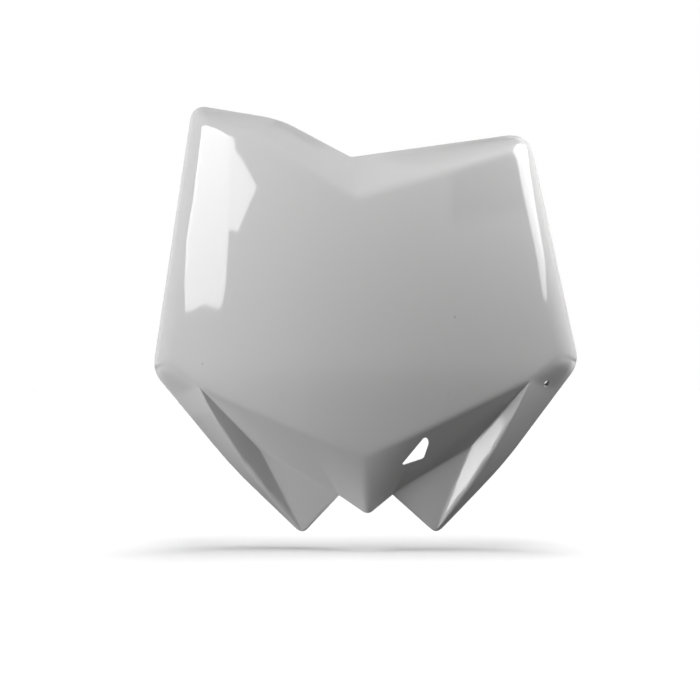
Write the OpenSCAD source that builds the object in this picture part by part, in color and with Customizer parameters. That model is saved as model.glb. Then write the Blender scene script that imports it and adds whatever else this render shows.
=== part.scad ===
// Front number board of a motocross motorbike, moulded in one piece.
// Sizes in millimetres, +Z up, the printed face looks along -Y, and +X is the viewer's right.
// Heights are measured from the chin, the lowest point of the main face, and depths go
// backwards (+Y) from the foremost line of the crowned face. The finished board is then
// moved so that the origin is the centre of the upper fixing hole.

/* [Face] */
// Radius of the crown across the main face
crown_r = 290; // [240:5:420]
// Radius of the slow bow of the main face from top to bottom
bow_r = 1800; // [1200:50:4000]
// Height of the notch crease above the chin
crease_z = 158.5; // [150:0.5:170]
// Distance of each side fold from the centre, at its lower end
fold_x = 120; // [116:0.5:124]
// Height of the lower end of the side folds
fold_z = 58.9; // [55:0.5:64]
// Distance of each side fold from the centre, at its upper end
fold_top_x = 96.6; // [92:0.2:100]
// Distance of each scoop's outer end from the centre
scoop_x = 104.4; // [100:0.2:108]
// Height of each scoop's outer end
scoop_z = 44.8; // [40:0.2:48]
// Distance of the keel shoulders from the centre
keel_x = 40.3; // [36:0.2:46]
// Height of the keel shoulders
keel_z = 16.8; // [12:0.2:20]

/* [Top edge] */
// Height of the bottom of the notch
notch_z = 186.4; // [180:0.2:192]
// Depth of the edge at the bottom of the notch
notch_y = 17; // [10:0.5:24]
// Distance of each top corner from the centre
peak_x = 107.5; // [104:0.5:112]
// Height of the left top corner
peak_left_z = 225.8; // [215:0.2:235]
// Height of the right top corner
peak_right_z = 201.6; // [196:0.2:210]
// Depth of the top corners
peak_y = 38; // [30:0.5:44]
// Height of the rolled band under the left top corner
peak_left_band = 18.9; // [15:0.1:22]
// Height of the rolled band under the right top corner
peak_right_band = 15.3; // [12:0.1:18]
// Distance of the bend in the left top edge from the centre
bend_x = 50.5; // [44:0.5:56]
// Height of the bend in the left top edge
bend_z = 211.2; // [206:0.2:216]
// Depth of the bend in the left top edge
bend_y = 22; // [16:0.5:28]
// Distance of the bend in the left crease from the centre
crease_bend_x = 64.1; // [58:0.5:70]
// Height of the bend in the left crease
crease_bend_z = 201.1; // [196:0.2:204]

/* [Side and lower edge] */
// Distance of each side corner from the centre
corner_x = 137.6; // [132:0.2:142]
// Height of the side corners
corner_z = 54.2; // [50:0.2:58]
// Depth of the side corners
corner_y = 44; // [36:0.5:50]
// Distance of the knee in each lower edge from the centre
knee_x = 86; // [82:0.5:90]
// Height of the knee
knee_z = -8; // [-11:0.2:-5]
// Depth of the knee
knee_y = 34; // [30:0.5:38]
// Distance of each outer tip from the centre
tip_x = 41.6; // [38:0.2:44]
// Height of the outer tips
tip_z = -48.2; // [-54:0.2:-44]
// Depth of the outer tips
tip_y = 20; // [18:0.5:23]

/* [Scoops and keel] */
// Distance of the deepest point of each scoop from the centre
valley_x = 66.2; // [62:0.2:70]
// Height of the deepest point of each scoop
valley_z = 2.8; // [0:0.2:6]
// Depth of the deepest point of each scoop
valley_y = 26; // [23:0.5:30]
// Distance of each gap between the tips from the centre
gap_x = 16.9; // [14:0.1:20]
// Height of the gaps between the tips
gap_z = -24.5; // [-28:0.2:-20]
// Depth of the gaps between the tips
gap_y = 18; // [15:0.5:21]
// Height of the middle tip
nose_z = -35.1; // [-42:0.2:-31]
// Depth of the middle tip
nose_y = 9; // [4:0.5:14]
// Sideways pull of the curved crest of each outer rib
crest_x = 79; // [76:0.2:82]
// Height of the pull point of the crest
crest_z = -8.3; // [-11:0.2:-5]
// Depth of the pull point of the crest
crest_y = 9.5; // [6:0.5:13]

/* [Wall and rounding] */
// Thickness of the moulded wall
wall = 2.5; // [2:0.1:3.2]
// Rounding of the left top corner
peak_left_round = 6; // [3:0.5:9]
// Rounding of the right top corner
peak_right_round = 15; // [9:0.5:18]
// Rounding of the side corners
corner_round = 8; // [4:0.5:11]
// Rounding of the folds where they meet the corners
fold_round = 5; // [2:0.5:7]
// Rounding of the outer tips
tip_round = 4; // [2:0.5:6]
// Rounding of the middle tip
nose_round = 3.5; // [2:0.5:6]
// Rounding at the bottom of the notch
notch_round = 4; // [2:0.5:8]
// How full the rolled sides are, from flat to round
roll_fullness = 0.75; // [0.3:0.05:0.85]
// How full the roll is where it runs into the scoops and along the outer ribs
rib_fullness = 0.15; // [0:0.05:0.4]
// How full the band is at the bend in the left top edge
shoulder_fullness = 0.3; // [0:0.05:0.6]

/* [Openings] */
// Distance of the window's low corner to the right of the chin
window_x = 23.6; // [22:0.2:26]
// Height of the window's low corner, from the chin
window_z = -5.6; // [-7:0.2:-4]
// Width of the window from its low corner to its top corner
window_w = 17; // [14:0.2:18]
// Height of the window from its low corner to its top corner
window_h = 18.4; // [15:0.2:20]
// Distance of the window's side corner from its low corner, sideways
window_side_x = 14.2; // [12:0.2:15]
// Height of the window's side corner above its low corner
window_side_z = 4.6; // [3:0.2:6]
// Rounding of the window's corners
window_round = 2; // [0.8:0.1:2.2]
// Radius of the small tie hole in the right rolled band
tie_r = 2.5; // [1.5:0.1:3]
// Place of the tie hole from the scoop (0) to the side corner (1)
tie_along = 0.1; // [0.05:0.01:0.25]
// Place of the tie hole from the face (0) to the edge (1)
tie_across = 0.47; // [0.4:0.01:0.55]

/* [Rear fixings] */
// Radius of the upper fixing hole
bolt_r = 3.3; // [2.6:0.1:4.3]
// Distance of the upper fixing hole behind the foremost line of the face
bolt_y = 34; // [28:0.5:42]
// Height of the middle of the fixing tongue above the chin
tongue_z = 144; // [132:0.5:148]
// Width of the fixing tongue where it leaves the board
tongue_w = 52; // [40:1:64]
// Thickness of the fixing tongue
tongue_t = 3.2; // [2.5:0.1:5]
// Material left round the upper fixing hole
tongue_land = 6; // [4:0.5:9]
// Height of the webs under the tongue
web_h = 26; // [14:0.5:34]
// Thickness of the webs and of the fins on the bosses
web_t = 2; // [1.5:0.1:3]
// Distance between the two webs, from middle to middle
web_gap = 34; // [26:1:38]
// Radius of the locating pegs
peg_r = 4; // [3:0.1:5]
// Free length of the locating pegs
peg_len = 12; // [8:0.5:16]
// Length of the tapered lead on the end of each peg
peg_lead = 1.5; // [0.5:0.1:2.5]
// Radius of the boss that carries each peg
boss_r = 7; // [6:0.1:9]
// Distance of the pegs from the centre
peg_x = 44; // [41:0.5:50]
// Height of the pegs above the chin
peg_z = 38; // [34:0.5:44]
// Depth of the flat end of the peg bosses
boss_y = 24; // [20:0.5:30]
// Reach of the fins beyond each boss
fin_reach = 7; // [4:0.5:9]

/* [Hidden] */
shell_tint = [0.90, 0.90, 0.89];
// Samples along each stretch of the network, shared by all patches that meet there
n_side = 9;
n_fold = 4;
n_lip = 9;
n_keel = 5;
n_right = n_fold + n_lip + n_keel;
n_shoulder = 6;
n_bevel = n_right - n_shoulder;
n_dip = 4;
n_prong = 6;
n_rib = n_dip + n_prong;
n_band = 4;
n_arc = 3;
n_rib_rows = 2;
n_round = 4;
n_root = 8;
// Where the rounding of the side corner hands over to the rib, from side corner to knee
hub_at = 0.28;
// A fully round roll turns over this share of its width and this share of its depth
roll_width = 0.85;
roll_depth = 0.2;
// Tie-break that keeps a mitred corner near the wall when its facets are almost parallel
soft = 0.02;
tiny = 0.001;
// How far a cut starts in front of the face
clear = 5;
// Sides of the round fixings
round_sides = 48;
// Reach of the webs along the tongue, from the board to the fixing hole
web_reach = 0.8;
// Part of each boss that its fins join
fin_grip = 0.9;

// Small vector helpers
function mix(a, b, t) = a + (b - a) * t;
function unit(v) = v / norm(v);
function bez(a, b, c, t) = mix(mix(a, b, t), mix(b, c, t), t);
function flat(p) = [p[0], p[2]];
function last(v) = v[len(v) - 1];
function flip(v) = [for (i = [len(v) - 1:-1:0]) v[i]];
// Looks a name up in a table of [name, value] rows
function pick(table, name) = [for (row = table) if (row[0] == name) row[1]][0];
// Joins two runs of points that share one end point
function chain(a, b) = concat(a, [for (i = [1:1:len(b) - 1]) b[i]]);

// Depth of the skin that lies w behind the crowned face
function face_y(x, z, w) =
    crown_r - sqrt(pow(crown_r - w, 2) - x * x)
    + pow(z - crease_z / 2, 2) / (2 * bow_r);
function on_face(x, z, w = 0) = [x, face_y(x, z, w), z];
function lift(line, w) = [for (p = line) on_face(p[0], p[1], w)];

// One stretch from corner a to corner b, n samples, starting and ending in the middle of
// the roundings there. ta and tb are how far each rounding reaches along the stretch.
function stretch(before, a, b, after, ta, tb, n) =
    let (
        ua = unit(before - a), ub = unit(after - b), u = unit(b - a),
        na = ta > 0 ? n_arc : 0, nb = tb > 0 ? n_arc : 0, nm = n - na - nb,
        a1 = a + u * ta, b1 = b - u * tb
    )
    concat(
        [for (i = [0:1:na - 1]) bez(a + ua * ta, a, a1, 0.5 + 0.5 * i / na)],
        [for (i = [0:1:nm]) mix(a1, b1, i / nm)],
        [for (i = [1:1:nb]) bez(b1, b, b + ub * tb, 0.5 * i / nb)]
    );

// A patch between four boundary lines: rows run from top to bottom
function coons(top, bottom, left, right) =
    let (n = len(top) - 1, m = len(left) - 1)
    [for (j = [0:m]) let (v = j / m)
        [for (i = [0:n]) let (u = i / n)
            mix(top[i], bottom[i], v) + mix(left[j], right[j], u)
            - mix(mix(top[0], top[n], u), mix(bottom[0], bottom[n], u), v)]];

// The corners of the outer skin on one side: s is -1 for the left and 1 for the right
function fold_top(s) =
    on_face(s * fold_top_x, s < 0 ? peak_left_z - peak_left_band : peak_right_z - peak_right_band);
function peak(s) = [s * peak_x, peak_y, s < 0 ? peak_left_z : peak_right_z];
function fold(s) = on_face(s * fold_x, fold_z);
function corner(s) = [s * corner_x, corner_y, corner_z];
function scoop(s) = on_face(s * scoop_x, scoop_z);
function keel(s) = on_face(s * keel_x, keel_z);
function valley(s) = [s * valley_x, valley_y, valley_z];
function gap(s) = [s * gap_x, gap_y, gap_z];
function tip(s) = [s * tip_x, tip_y, tip_z];
function knee(s) = [s * knee_x, knee_y, knee_z];
function crest(s) = [s * crest_x, crest_y, crest_z];
chin = on_face(0, 0);
crease = on_face(0, crease_z);
notch = [0, notch_y, notch_z];
nose = [0, nose_y, nose_z];
bend = [-bend_x, bend_y, bend_z];
crease_bend = on_face(-crease_bend_x, crease_bend_z);

// Outward normal of the facet through three corners: the front looks along -Y
function facing(a, b, c) = let (n = unit(cross(b - a, c - a))) n[1] > 0 ? -n : n;
function face_normal(p) = unit([p[0], -sqrt(pow(crown_r, 2) - pow(p[0], 2)), 0]);

// Shift of a corner to the inner skin: one wall behind every facet that meets there
function solve3(r, b) =
    let (d = cross(r[0], r[1]) * r[2])
    (cross(r[1], r[2]) * b[0] + cross(r[2], r[0]) * b[1] + cross(r[0], r[1]) * b[2]) / d;
function total(v, i = 0) = i == len(v) - 1 ? v[i] : v[i] + total(v, i + 1);
function mitre(normals) =
    let (rows = [for (k = [0:2])
        total([for (n = normals) n * n[k]]) + [for (c = [0:2]) c == k ? soft : 0]])
    solve3(rows, -wall * total(normals));

// The facets, named by what they are, on side s
function shoulder_n() = facing(fold_top(-1), crease_bend, peak(-1));
function bevel_n(s) = s < 0 ? facing(crease, crease_bend, notch) : facing(crease, fold_top(1), notch);
function top_n(s) = s < 0 ? shoulder_n() : bevel_n(1);
function side_n(s) = facing(fold(s), fold_top(s), mix(corner(s), peak(s), 0.5));
function rim_n(s) = facing(scoop(s), fold(s), corner(s));
function band_n(s) = facing(scoop(s), crest(s), knee(s));
function band_low_n(s) = facing(crest(s), tip(s), knee(s));
function rib_n(s) = facing(scoop(s), valley(s), crest(s));
function rib_low_n(s) = facing(valley(s), tip(s), crest(s));
function lip_n(s) = facing(scoop(s), keel(s), valley(s));
function prong_n(s) = facing(valley(s), gap(s), tip(s));
function keel_n(s) = facing(keel(s), chin, gap(s));

// The corners, each with its name, its place on the outer skin and the facets that meet there.
// Those on the main face come first, and stay on the crown of whichever skin they are on.
function face_corners(s) = [
    ["fold_top", fold_top(s), [top_n(s), side_n(s)]],
    ["fold", fold(s), [side_n(s), rim_n(s)]],
    ["scoop", scoop(s), [rim_n(s), rib_n(s), lip_n(s)]],
    ["keel", keel(s), [lip_n(s), keel_n(s)]]
];
function free_corners(s) = [
    ["peak", peak(s), [top_n(s), side_n(s)]],
    ["corner", corner(s), [side_n(s), rim_n(s)]],
    ["valley", valley(s), [lip_n(s), prong_n(s), rib_n(s), rib_low_n(s)]],
    ["gap", gap(s), [lip_n(s), prong_n(s), keel_n(s)]],
    ["tip", tip(s), [prong_n(s), band_low_n(s), rib_low_n(s)]],
    ["knee", knee(s), [band_n(s), band_low_n(s)]],
    ["crest", crest(s), [band_n(s), band_low_n(s), rib_n(s), rib_low_n(s)]]
];
mid_face_corners = [
    ["chin", chin, [keel_n(-1), keel_n(1)]],
    ["crease", crease, [bevel_n(-1), bevel_n(1)]],
    ["crease_bend", crease_bend, [bevel_n(-1), shoulder_n()]]
];
mid_free_corners = [
    ["notch", notch, [bevel_n(-1), bevel_n(1)]],
    ["nose", nose, [keel_n(-1), keel_n(1)]],
    ["bend", bend, [bevel_n(-1), shoulder_n()]]
];

// The corners of one skin by name: k is 0 for the outer skin and 1 for the inner one
function on_skin(face_rows, free_rows, k) = concat(
    [for (row = face_rows)
        let (p = row[1] + k * mitre(concat([face_normal(row[1])], row[2])))
        [row[0], on_face(p[0], p[2], k * wall)]],
    [for (row = free_rows) [row[0], row[1] + k * mitre(row[2])]]);
function side_skin(s, k) = on_skin(face_corners(s), free_corners(s), k);
function mid_skin(k) = on_skin(mid_face_corners, mid_free_corners, k);

// Rounds a stretch of the main face's border in plan, then lifts it on to the skin
function face_stretch(before, a, b, after, ta, tb, n, w) =
    lift(stretch(flat(before), flat(a), flat(b), flat(after), ta, tb, n), w);

// All border lines of one skin by name. k is 0 for the outer skin and 1 for the inner one.
function side_lines(s, k) =
    let (
        w = k * wall,
        skin = side_skin(s, k),
        mid = mid_skin(k),
        fold_top = pick(skin, "fold_top"), fold = pick(skin, "fold"), scoop = pick(skin, "scoop"),
        keel = pick(skin, "keel"), peak = pick(skin, "peak"), corner = pick(skin, "corner"),
        valley = pick(skin, "valley"), gap = pick(skin, "gap"), tip = pick(skin, "tip"),
        knee = pick(skin, "knee"), crest = pick(skin, "crest"),
        chin = pick(mid, "chin"), nose = pick(mid, "nose"),
        top_in = pick(mid, s < 0 ? "crease_bend" : "crease"),
        top_out = pick(mid, s < 0 ? "bend" : "notch"),
        peak_t = s < 0 ? peak_left_round : peak_right_round,
        hub = mix(corner, knee, hub_at),
        other_gap = [-gap[0], gap[1], gap[2]],
        rim_tip = stretch(hub, knee, tip, gap, 0, tip_round, n_prong),
        nose_edge = stretch(tip, gap, nose, other_gap, 0, nose_round, n_keel),
        end = last(rim_tip)
    )
    [
        ["fold_side", face_stretch(scoop, fold, fold_top, top_in, fold_round, fold_round, n_side, w)],
        ["fold_low", face_stretch(keel, scoop, fold, fold_top, 0, fold_round, n_fold, w)],
        ["lip", face_stretch(fold, scoop, keel, chin, 0, 0, n_lip, w)],
        ["keel_top", face_stretch(scoop, keel, chin, chin + [s, 0, 0], 0, 0, n_keel, w)],
        ["edge_side", stretch(knee, corner, peak, top_out, corner_round, peak_t, n_side)],
        ["edge_low", stretch(knee, hub, corner, peak, 0, corner_round, n_fold)],
        ["rim", chain(ramp(hub, knee, n_dip), rim_tip)],
        ["prong_edge", flip(stretch(knee, tip, gap, nose, tip_round, 0, n_prong))],
        ["ridge", [for (i = [0:n_rib]) bez(scoop, crest, end, i / n_rib)]],
        ["dip", ramp(scoop, valley, n_dip)],
        ["prong_in", ramp(valley, end, n_prong)],
        ["floor", ramp(valley, gap, n_lip)],
        ["keel_side", ramp(keel, gap, n_dip)],
        ["nose_edge", nose_edge],
        ["chin_line", ramp(chin, last(nose_edge), n_dip)]
    ];

// The crease under the top edge, and the top edge itself, both from left to right
function crease_line(k) =
    let (
        w = k * wall,
        l = side_skin(-1, k), r = side_skin(1, k), mid = mid_skin(k),
        left = pick(l, "fold_top"), right = pick(r, "fold_top"),
        turn = pick(mid, "crease_bend"), low = pick(mid, "crease")
    )
    chain(chain(
        face_stretch(pick(l, "fold"), left, turn, low, fold_round, 0, n_shoulder, w),
        face_stretch(left, turn, low, right, 0, 0, n_bevel, w)),
        face_stretch(turn, low, right, pick(r, "fold"), 0, fold_round, n_right, w));
function top_line(k) =
    let (
        l = side_skin(-1, k), r = side_skin(1, k), mid = mid_skin(k),
        left = pick(l, "peak"), right = pick(r, "peak"),
        turn = pick(mid, "bend"), low = pick(mid, "notch")
    )
    chain(chain(
        stretch(pick(l, "corner"), left, turn, low, peak_left_round, 0, n_shoulder),
        stretch(left, turn, low, right, 0, notch_round, n_bevel)),
        stretch(turn, low, right, pick(r, "corner"), notch_round, peak_right_round, n_right));

// A strip between two lines of equal length, bulged outwards by the fullness f at each sample
function band(inner, outer, f) =
    [for (j = [0:n_band]) let (v = j / n_band)
        [for (i = [0:len(inner) - 1])
            let (
                a = inner[i], c = outer[i],
                full = [mix(a[0], c[0], roll_width), mix(a[1], c[1], roll_depth),
                    mix(a[2], c[2], roll_width)]
            )
            bez(a, mix(mix(a, c, 0.5), full, f[i]), c, v)]];
function ramp(a, b, n) = [for (i = [0:n]) mix(a, b, i / n)];

// The patches below the fold on one side, and the free edge from the nose to the peak
function side_patches(q) =
    let (
        ridge = pick(q, "ridge"), rim = pick(q, "rim"), dip = pick(q, "dip"),
        prong_in = pick(q, "prong_in"), floor_line = pick(q, "floor"),
        keel_side = pick(q, "keel_side"), foot = chain(dip, prong_in)
    )
    [
        band(ridge, rim, ramp(rib_fullness, 0, n_rib)),
        flip_rows(coons(ridge, foot, ramp(ridge[0], foot[0], n_rib_rows),
            ramp(last(ridge), last(foot), n_rib_rows))),
        coons(pick(q, "lip"), floor_line, dip, keel_side),
        coons(floor_line, ramp(last(rim), last(rim), n_lip), prong_in, pick(q, "prong_edge")),
        coons(pick(q, "keel_top"), pick(q, "nose_edge"), keel_side, pick(q, "chin_line"))
    ];
function flip_rows(rows) = [for (row = rows) flip(row)];
function side_edge(q) =
    chain(chain(chain(flip(pick(q, "nose_edge")), pick(q, "prong_edge")), flip(pick(q, "rim"))),
        chain(pick(q, "edge_low"), pick(q, "edge_side")));

// All patches of one skin, and the closed outline that it ends in
function patches(k) =
    let (
        w = k * wall,
        l = side_lines(-1, k), r = side_lines(1, k),
        top_in = crease_line(k), top_out = top_line(k),
        low_left = chain(chain(flip(pick(l, "fold_low")), pick(l, "lip")), pick(l, "keel_top")),
        low_right = chain(chain(flip(pick(r, "fold_low")), pick(r, "lip")), pick(r, "keel_top")),
        left_up = chain(pick(l, "fold_low"), pick(l, "fold_side")),
        right_up = chain(pick(r, "fold_low"), pick(r, "fold_side")),
        left_edge = chain(pick(l, "edge_low"), pick(l, "edge_side")),
        right_edge = chain(pick(r, "edge_low"), pick(r, "edge_side")),
        plan = coons(in_plan(top_in), in_plan(chain(low_left, flip(low_right))),
            in_plan(flip(pick(l, "fold_side"))), in_plan(flip(pick(r, "fold_side")))),
        f_side = chain(ramp(rib_fullness, roll_fullness, n_fold),
            ramp(roll_fullness, roll_fullness, n_side)),
        f_top = chain(chain(ramp(roll_fullness, shoulder_fullness, n_shoulder),
            ramp(shoulder_fullness, 0, n_bevel)), ramp(0, roll_fullness, n_right)),
        ring = band(chain(chain(left_up, top_in), flip(right_up)),
            chain(chain(left_edge, top_out), flip(right_edge)),
            chain(chain(f_side, f_top), flip(f_side)))
    )
    concat([[for (row = plan) lift(row, w)], flip_rows(ring)], side_patches(l),
        [for (grid = side_patches(r)) flip_rows(grid)]);
function in_plan(line) = [for (p = line) flat(p)];
function outline(k) =
    chain(chain(side_edge(side_lines(-1, k)), top_line(k)), flip(side_edge(side_lines(1, k))));

// Triangles of a grid of rows, dropping those that have no area
function grid_faces(rows, start, turn) =
    let (n = len(rows[0]))
    [for (j = [0:len(rows) - 2], i = [0:n - 2])
        let (a = j * n + i, b = a + 1, c = a + n + 1, d = a + n,
            pa = rows[j][i], pb = rows[j][i + 1], pc = rows[j + 1][i + 1], pd = rows[j + 1][i])
        each concat(
            norm(pa - pb) > tiny && norm(pb - pc) > tiny && norm(pa - pc) > tiny
                ? [turn ? [a, b, c] + start * [1, 1, 1] : [c, b, a] + start * [1, 1, 1]] : [],
            norm(pa - pc) > tiny && norm(pc - pd) > tiny && norm(pa - pd) > tiny
                ? [turn ? [a, c, d] + start * [1, 1, 1] : [d, c, a] + start * [1, 1, 1]] : [])];
function starts(grids, i = 0, at = 0) =
    i == len(grids) ? [] : concat([at], starts(grids, i + 1, at + len(grids[i]) * len(grids[i][0])));

// The moulded shell: outer skin, inner skin, and the rim that joins them
module shell() {
    front = patches(0);
    back = patches(1);
    rim = [outline(0), outline(1)];
    grids = concat(front, back, [rim]);
    first = starts(grids);
    points = [for (g = grids, row = g) each row];
    faces = [for (i = [0:len(grids) - 1])
        each grid_faces(grids[i], first[i], i < len(front))];
    polyhedron(points = points, faces = faces, convexity = 8);
}

// Depth of the middle of the wall behind the main face: fixings grow from here
function root_y(x, z) = face_y(x, z, wall / 2);

// A closed outline with rounded corners, each rounding reaching t along both sides
function rounded(corners, t) =
    let (n = len(corners))
    [for (i = [0:n - 1])
        let (
            c = corners[i],
            a = c + unit(corners[(i + n - 1) % n] - c) * t,
            b = c + unit(corners[(i + 1) % n] - c) * t
        )
        each [for (j = [0:n_round]) bez(a, c, b, j / n_round)]];

// Extrudes a plan drawn in x and z straight back, from depth y0 to depth y1
module through(y0, y1) {
    translate([0, y1, 0]) rotate([90, 0, 0]) linear_extrude(y1 - y0) children();
}

// The three-cornered window beside the keel, on the right only
module window() {
    low = [window_x, window_z];
    through(-clear, corner_y)
        polygon(rounded([low, low + [window_side_x, window_side_z], low + [window_w, window_h]],
            window_round));
}

// The small hole for a cable tie, drilled square to the rolled band on the right
module tie_hole() {
    inner = mix(scoop(1), fold(1), tie_along);
    outer = mix(mix(corner(1), knee(1), hub_at), corner(1), tie_along);
    along(mix(inner, outer, tie_across), facing(inner, outer, fold(1)))
        cylinder(r = tie_r, h = 4 * wall, center = true, $fn = round_sides);
}

// Turns the z axis of its children to direction d at point p
module along(p, d) {
    translate(p) rotate([0, acos(d[2]), atan2(d[1], d[0])]) children();
}

// Tongue with the upper fixing hole, growing back from the wall below the notch
module tongue() {
    end_r = bolt_r + tongue_land;
    root = [for (i = [0:n_root])
        let (x = mix(tongue_w, -tongue_w, i / n_root) / 2) [x, root_y(x, tongue_z)]];
    difference() {
        translate([0, 0, tongue_z - tongue_t / 2]) {
            linear_extrude(tongue_t) polygon(concat(root, [[-end_r, bolt_y], [end_r, bolt_y]]));
            translate([0, bolt_y, 0]) cylinder(r = end_r, h = tongue_t, $fn = round_sides);
        }
        translate([0, bolt_y, tongue_z])
            cylinder(r = bolt_r, h = 3 * tongue_t, center = true, $fn = round_sides);
    }
}

// A three-cornered web in a plane across x, hanging under the tongue
module web(x) {
    top = tongue_z - tongue_t / 4;
    far = mix(root_y(x, top), bolt_y, web_reach);
    translate([x - web_t / 2, 0, 0]) rotate([90, 0, 90]) linear_extrude(web_t)
        polygon([[root_y(x, top), top], [far, top], [root_y(x, top - web_h), top - web_h]]);
}

// Everything behind the middle of the face's wall, within reach of point (x, z)
module behind_face(x, z, reach) {
    root = [for (i = [-n_root:n_root]) let (xi = x + reach * i / n_root) [xi, root_y(xi, z)]];
    translate([0, 0, z - reach]) linear_extrude(2 * reach)
        polygon(concat(root, [[x + reach, 3 * corner_y], [x - reach, 3 * corner_y]]));
}

// Boss and locating peg on side s, with fins that stiffen the boss
module peg(s) {
    x = s * peg_x;
    reach = boss_r + fin_reach;
    grip = boss_r * fin_grip;
    fin_y = boss_y - wall;
    foot_y = root_y(x + s * reach, peg_z);
    intersection() {
        behind_face(x, peg_z, reach);
        union() {
            translate([x, 0, peg_z]) rotate([-90, 0, 0]) {
                cylinder(r = boss_r, h = boss_y, $fn = round_sides);
                cylinder(r = peg_r, h = boss_y + peg_len, $fn = round_sides);
                translate([0, 0, boss_y + peg_len])
                    cylinder(r1 = peg_r, r2 = peg_r - peg_lead / 2, h = peg_lead, $fn = round_sides);
            }
            translate([0, 0, peg_z - web_t / 2]) linear_extrude(web_t)
                polygon([[x - reach, 0], [x + reach, 0], [x + reach, foot_y],
                    [x + grip, fin_y], [x - grip, fin_y], [x - reach, foot_y]]);
            translate([x - web_t / 2, 0, peg_z]) rotate([90, 0, 90]) linear_extrude(web_t)
                polygon([[0, 0], [fin_y, 0], [fin_y, grip],
                    [root_y(x, peg_z + reach), reach], [0, reach]]);
        }
    }
}

module number_board() {
    color(shell_tint) translate([0, -bolt_y, -tongue_z]) union() {
        difference() {
            shell();
            window();
            tie_hole();
        }
        tongue();
        for (s = [-1, 1]) {
            web(s * web_gap / 2);
            peg(s);
        }
    }
}

number_board();
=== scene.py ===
"""Dresses the racing number board: smooth moulded skin, rear fixings, plastic finish and studio.

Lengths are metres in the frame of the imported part: +Z up, the printed face looks along -Y, +X is
the viewer's right, and the origin is the centre of the upper fixing hole. The shell's own sizes
are measured from its chin, as the lowest point of the main face, and are moved at the end.
"""

import logging
from dataclasses import dataclass
from enum import IntEnum
from typing import Iterable, Sequence

import bmesh
import bpy
import numpy as np
from mathutils import Matrix, Vector
from numpy.typing import NDArray


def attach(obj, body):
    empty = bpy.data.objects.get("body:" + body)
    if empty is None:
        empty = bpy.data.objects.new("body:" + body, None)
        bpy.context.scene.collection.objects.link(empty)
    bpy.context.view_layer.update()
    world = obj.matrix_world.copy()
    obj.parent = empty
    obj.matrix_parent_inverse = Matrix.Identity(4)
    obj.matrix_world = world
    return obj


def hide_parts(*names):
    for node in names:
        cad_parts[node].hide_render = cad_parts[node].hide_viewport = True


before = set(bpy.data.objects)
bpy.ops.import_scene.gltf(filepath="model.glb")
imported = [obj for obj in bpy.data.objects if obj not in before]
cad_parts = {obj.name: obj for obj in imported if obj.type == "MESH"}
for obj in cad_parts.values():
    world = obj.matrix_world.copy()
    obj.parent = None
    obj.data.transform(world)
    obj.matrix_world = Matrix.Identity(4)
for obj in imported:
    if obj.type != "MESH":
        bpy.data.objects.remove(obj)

Points = NDArray[np.float64]
Indices = NDArray[np.int64]
Socket = bpy.types.NodeSocket
LOG = logging.getLogger("number_board")
# Points on half of a rounding, before they are spaced evenly
ROUNDING_POINTS = 24
# Most pairs of points that are measured at once
PAIRS_AT_ONCE = 4_000_000


class Side(IntEnum):
    """A side of the board, as the sign of its x values."""

    LEFT = -1
    RIGHT = 1


class Skin(IntEnum):
    """One of the two faces of the moulded wall, as its distance behind the front in walls."""

    OUTER = 0
    INNER = 1


def mix(a: Points, b: Points, t: Points | float) -> Points:
    """Returns a + (b - a) t, the straight mix of a and b."""
    return a + (b - a) * t


def unit(v: Points) -> Points:
    """Returns v divided by its length, along the last axis."""
    return v / np.linalg.norm(v, axis=-1, keepdims=True)


def bezier(a: Points, b: Points, c: Points, t: Points) -> Points:
    """Returns the quadratic curve (1-t)^2 a + 2t(1-t) b + t^2 c at each t."""
    t = np.asarray(t)[..., None]
    return (1 - t) ** 2 * a + 2 * t * (1 - t) * b + t**2 * c


def straight(a: Points, b: Points, n: int) -> Points:
    """Returns n + 1 points evenly spaced from a to b."""
    return mix(a, b, np.linspace(0, 1, n + 1)[:, None])


def resample(line: Points, n: int) -> Points:
    """Spaces a line's points evenly.

    Args:
        line: points of a curve, in order.
        n: number of steps wanted.

    Returns:
        n + 1 points at equal distances along the curve, with the same two ends.
    """
    along = np.concatenate([[0], np.cumsum(np.linalg.norm(np.diff(line, axis=0), axis=1))])
    at = np.linspace(0, along[-1], n + 1)
    even = np.stack([np.interp(at, along, line[:, k]) for k in range(line.shape[1])], axis=1)
    even[0], even[-1] = line[0], line[-1]
    return even


def rounded_stretch(
    before: Points, a: Points, b: Points, after: Points, round_a: float, round_b: float, n: int
) -> Points:
    """One stretch of a rounded outline, from the middle of the rounding at a to that at b.

    Each rounding is the quadratic curve that leaves one leg and joins the next at a distance of
    round_a or round_b from the corner.

    Args:
        before: the corner before a.
        a: first corner of the stretch.
        b: last corner of the stretch.
        after: the corner after b.
        round_a: reach of the rounding at a along both legs.
        round_b: reach of the rounding at b along both legs.
        n: number of steps.

    Returns:
        n + 1 points, evenly spaced.
    """
    half = np.linspace(0, 0.5, ROUNDING_POINTS)
    leg = unit(b - a)
    leave, arrive = a + leg * round_a, b - leg * round_b
    start = bezier(a + unit(before - a) * round_a, a, leave, half + 0.5)
    end = bezier(arrive, b, b + unit(after - b) * round_b, half)
    runs = ([start] if round_a > 0 else [a[None]]) + ([end] if round_b > 0 else [b[None]])
    return resample(np.concatenate(runs), n)


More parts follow.
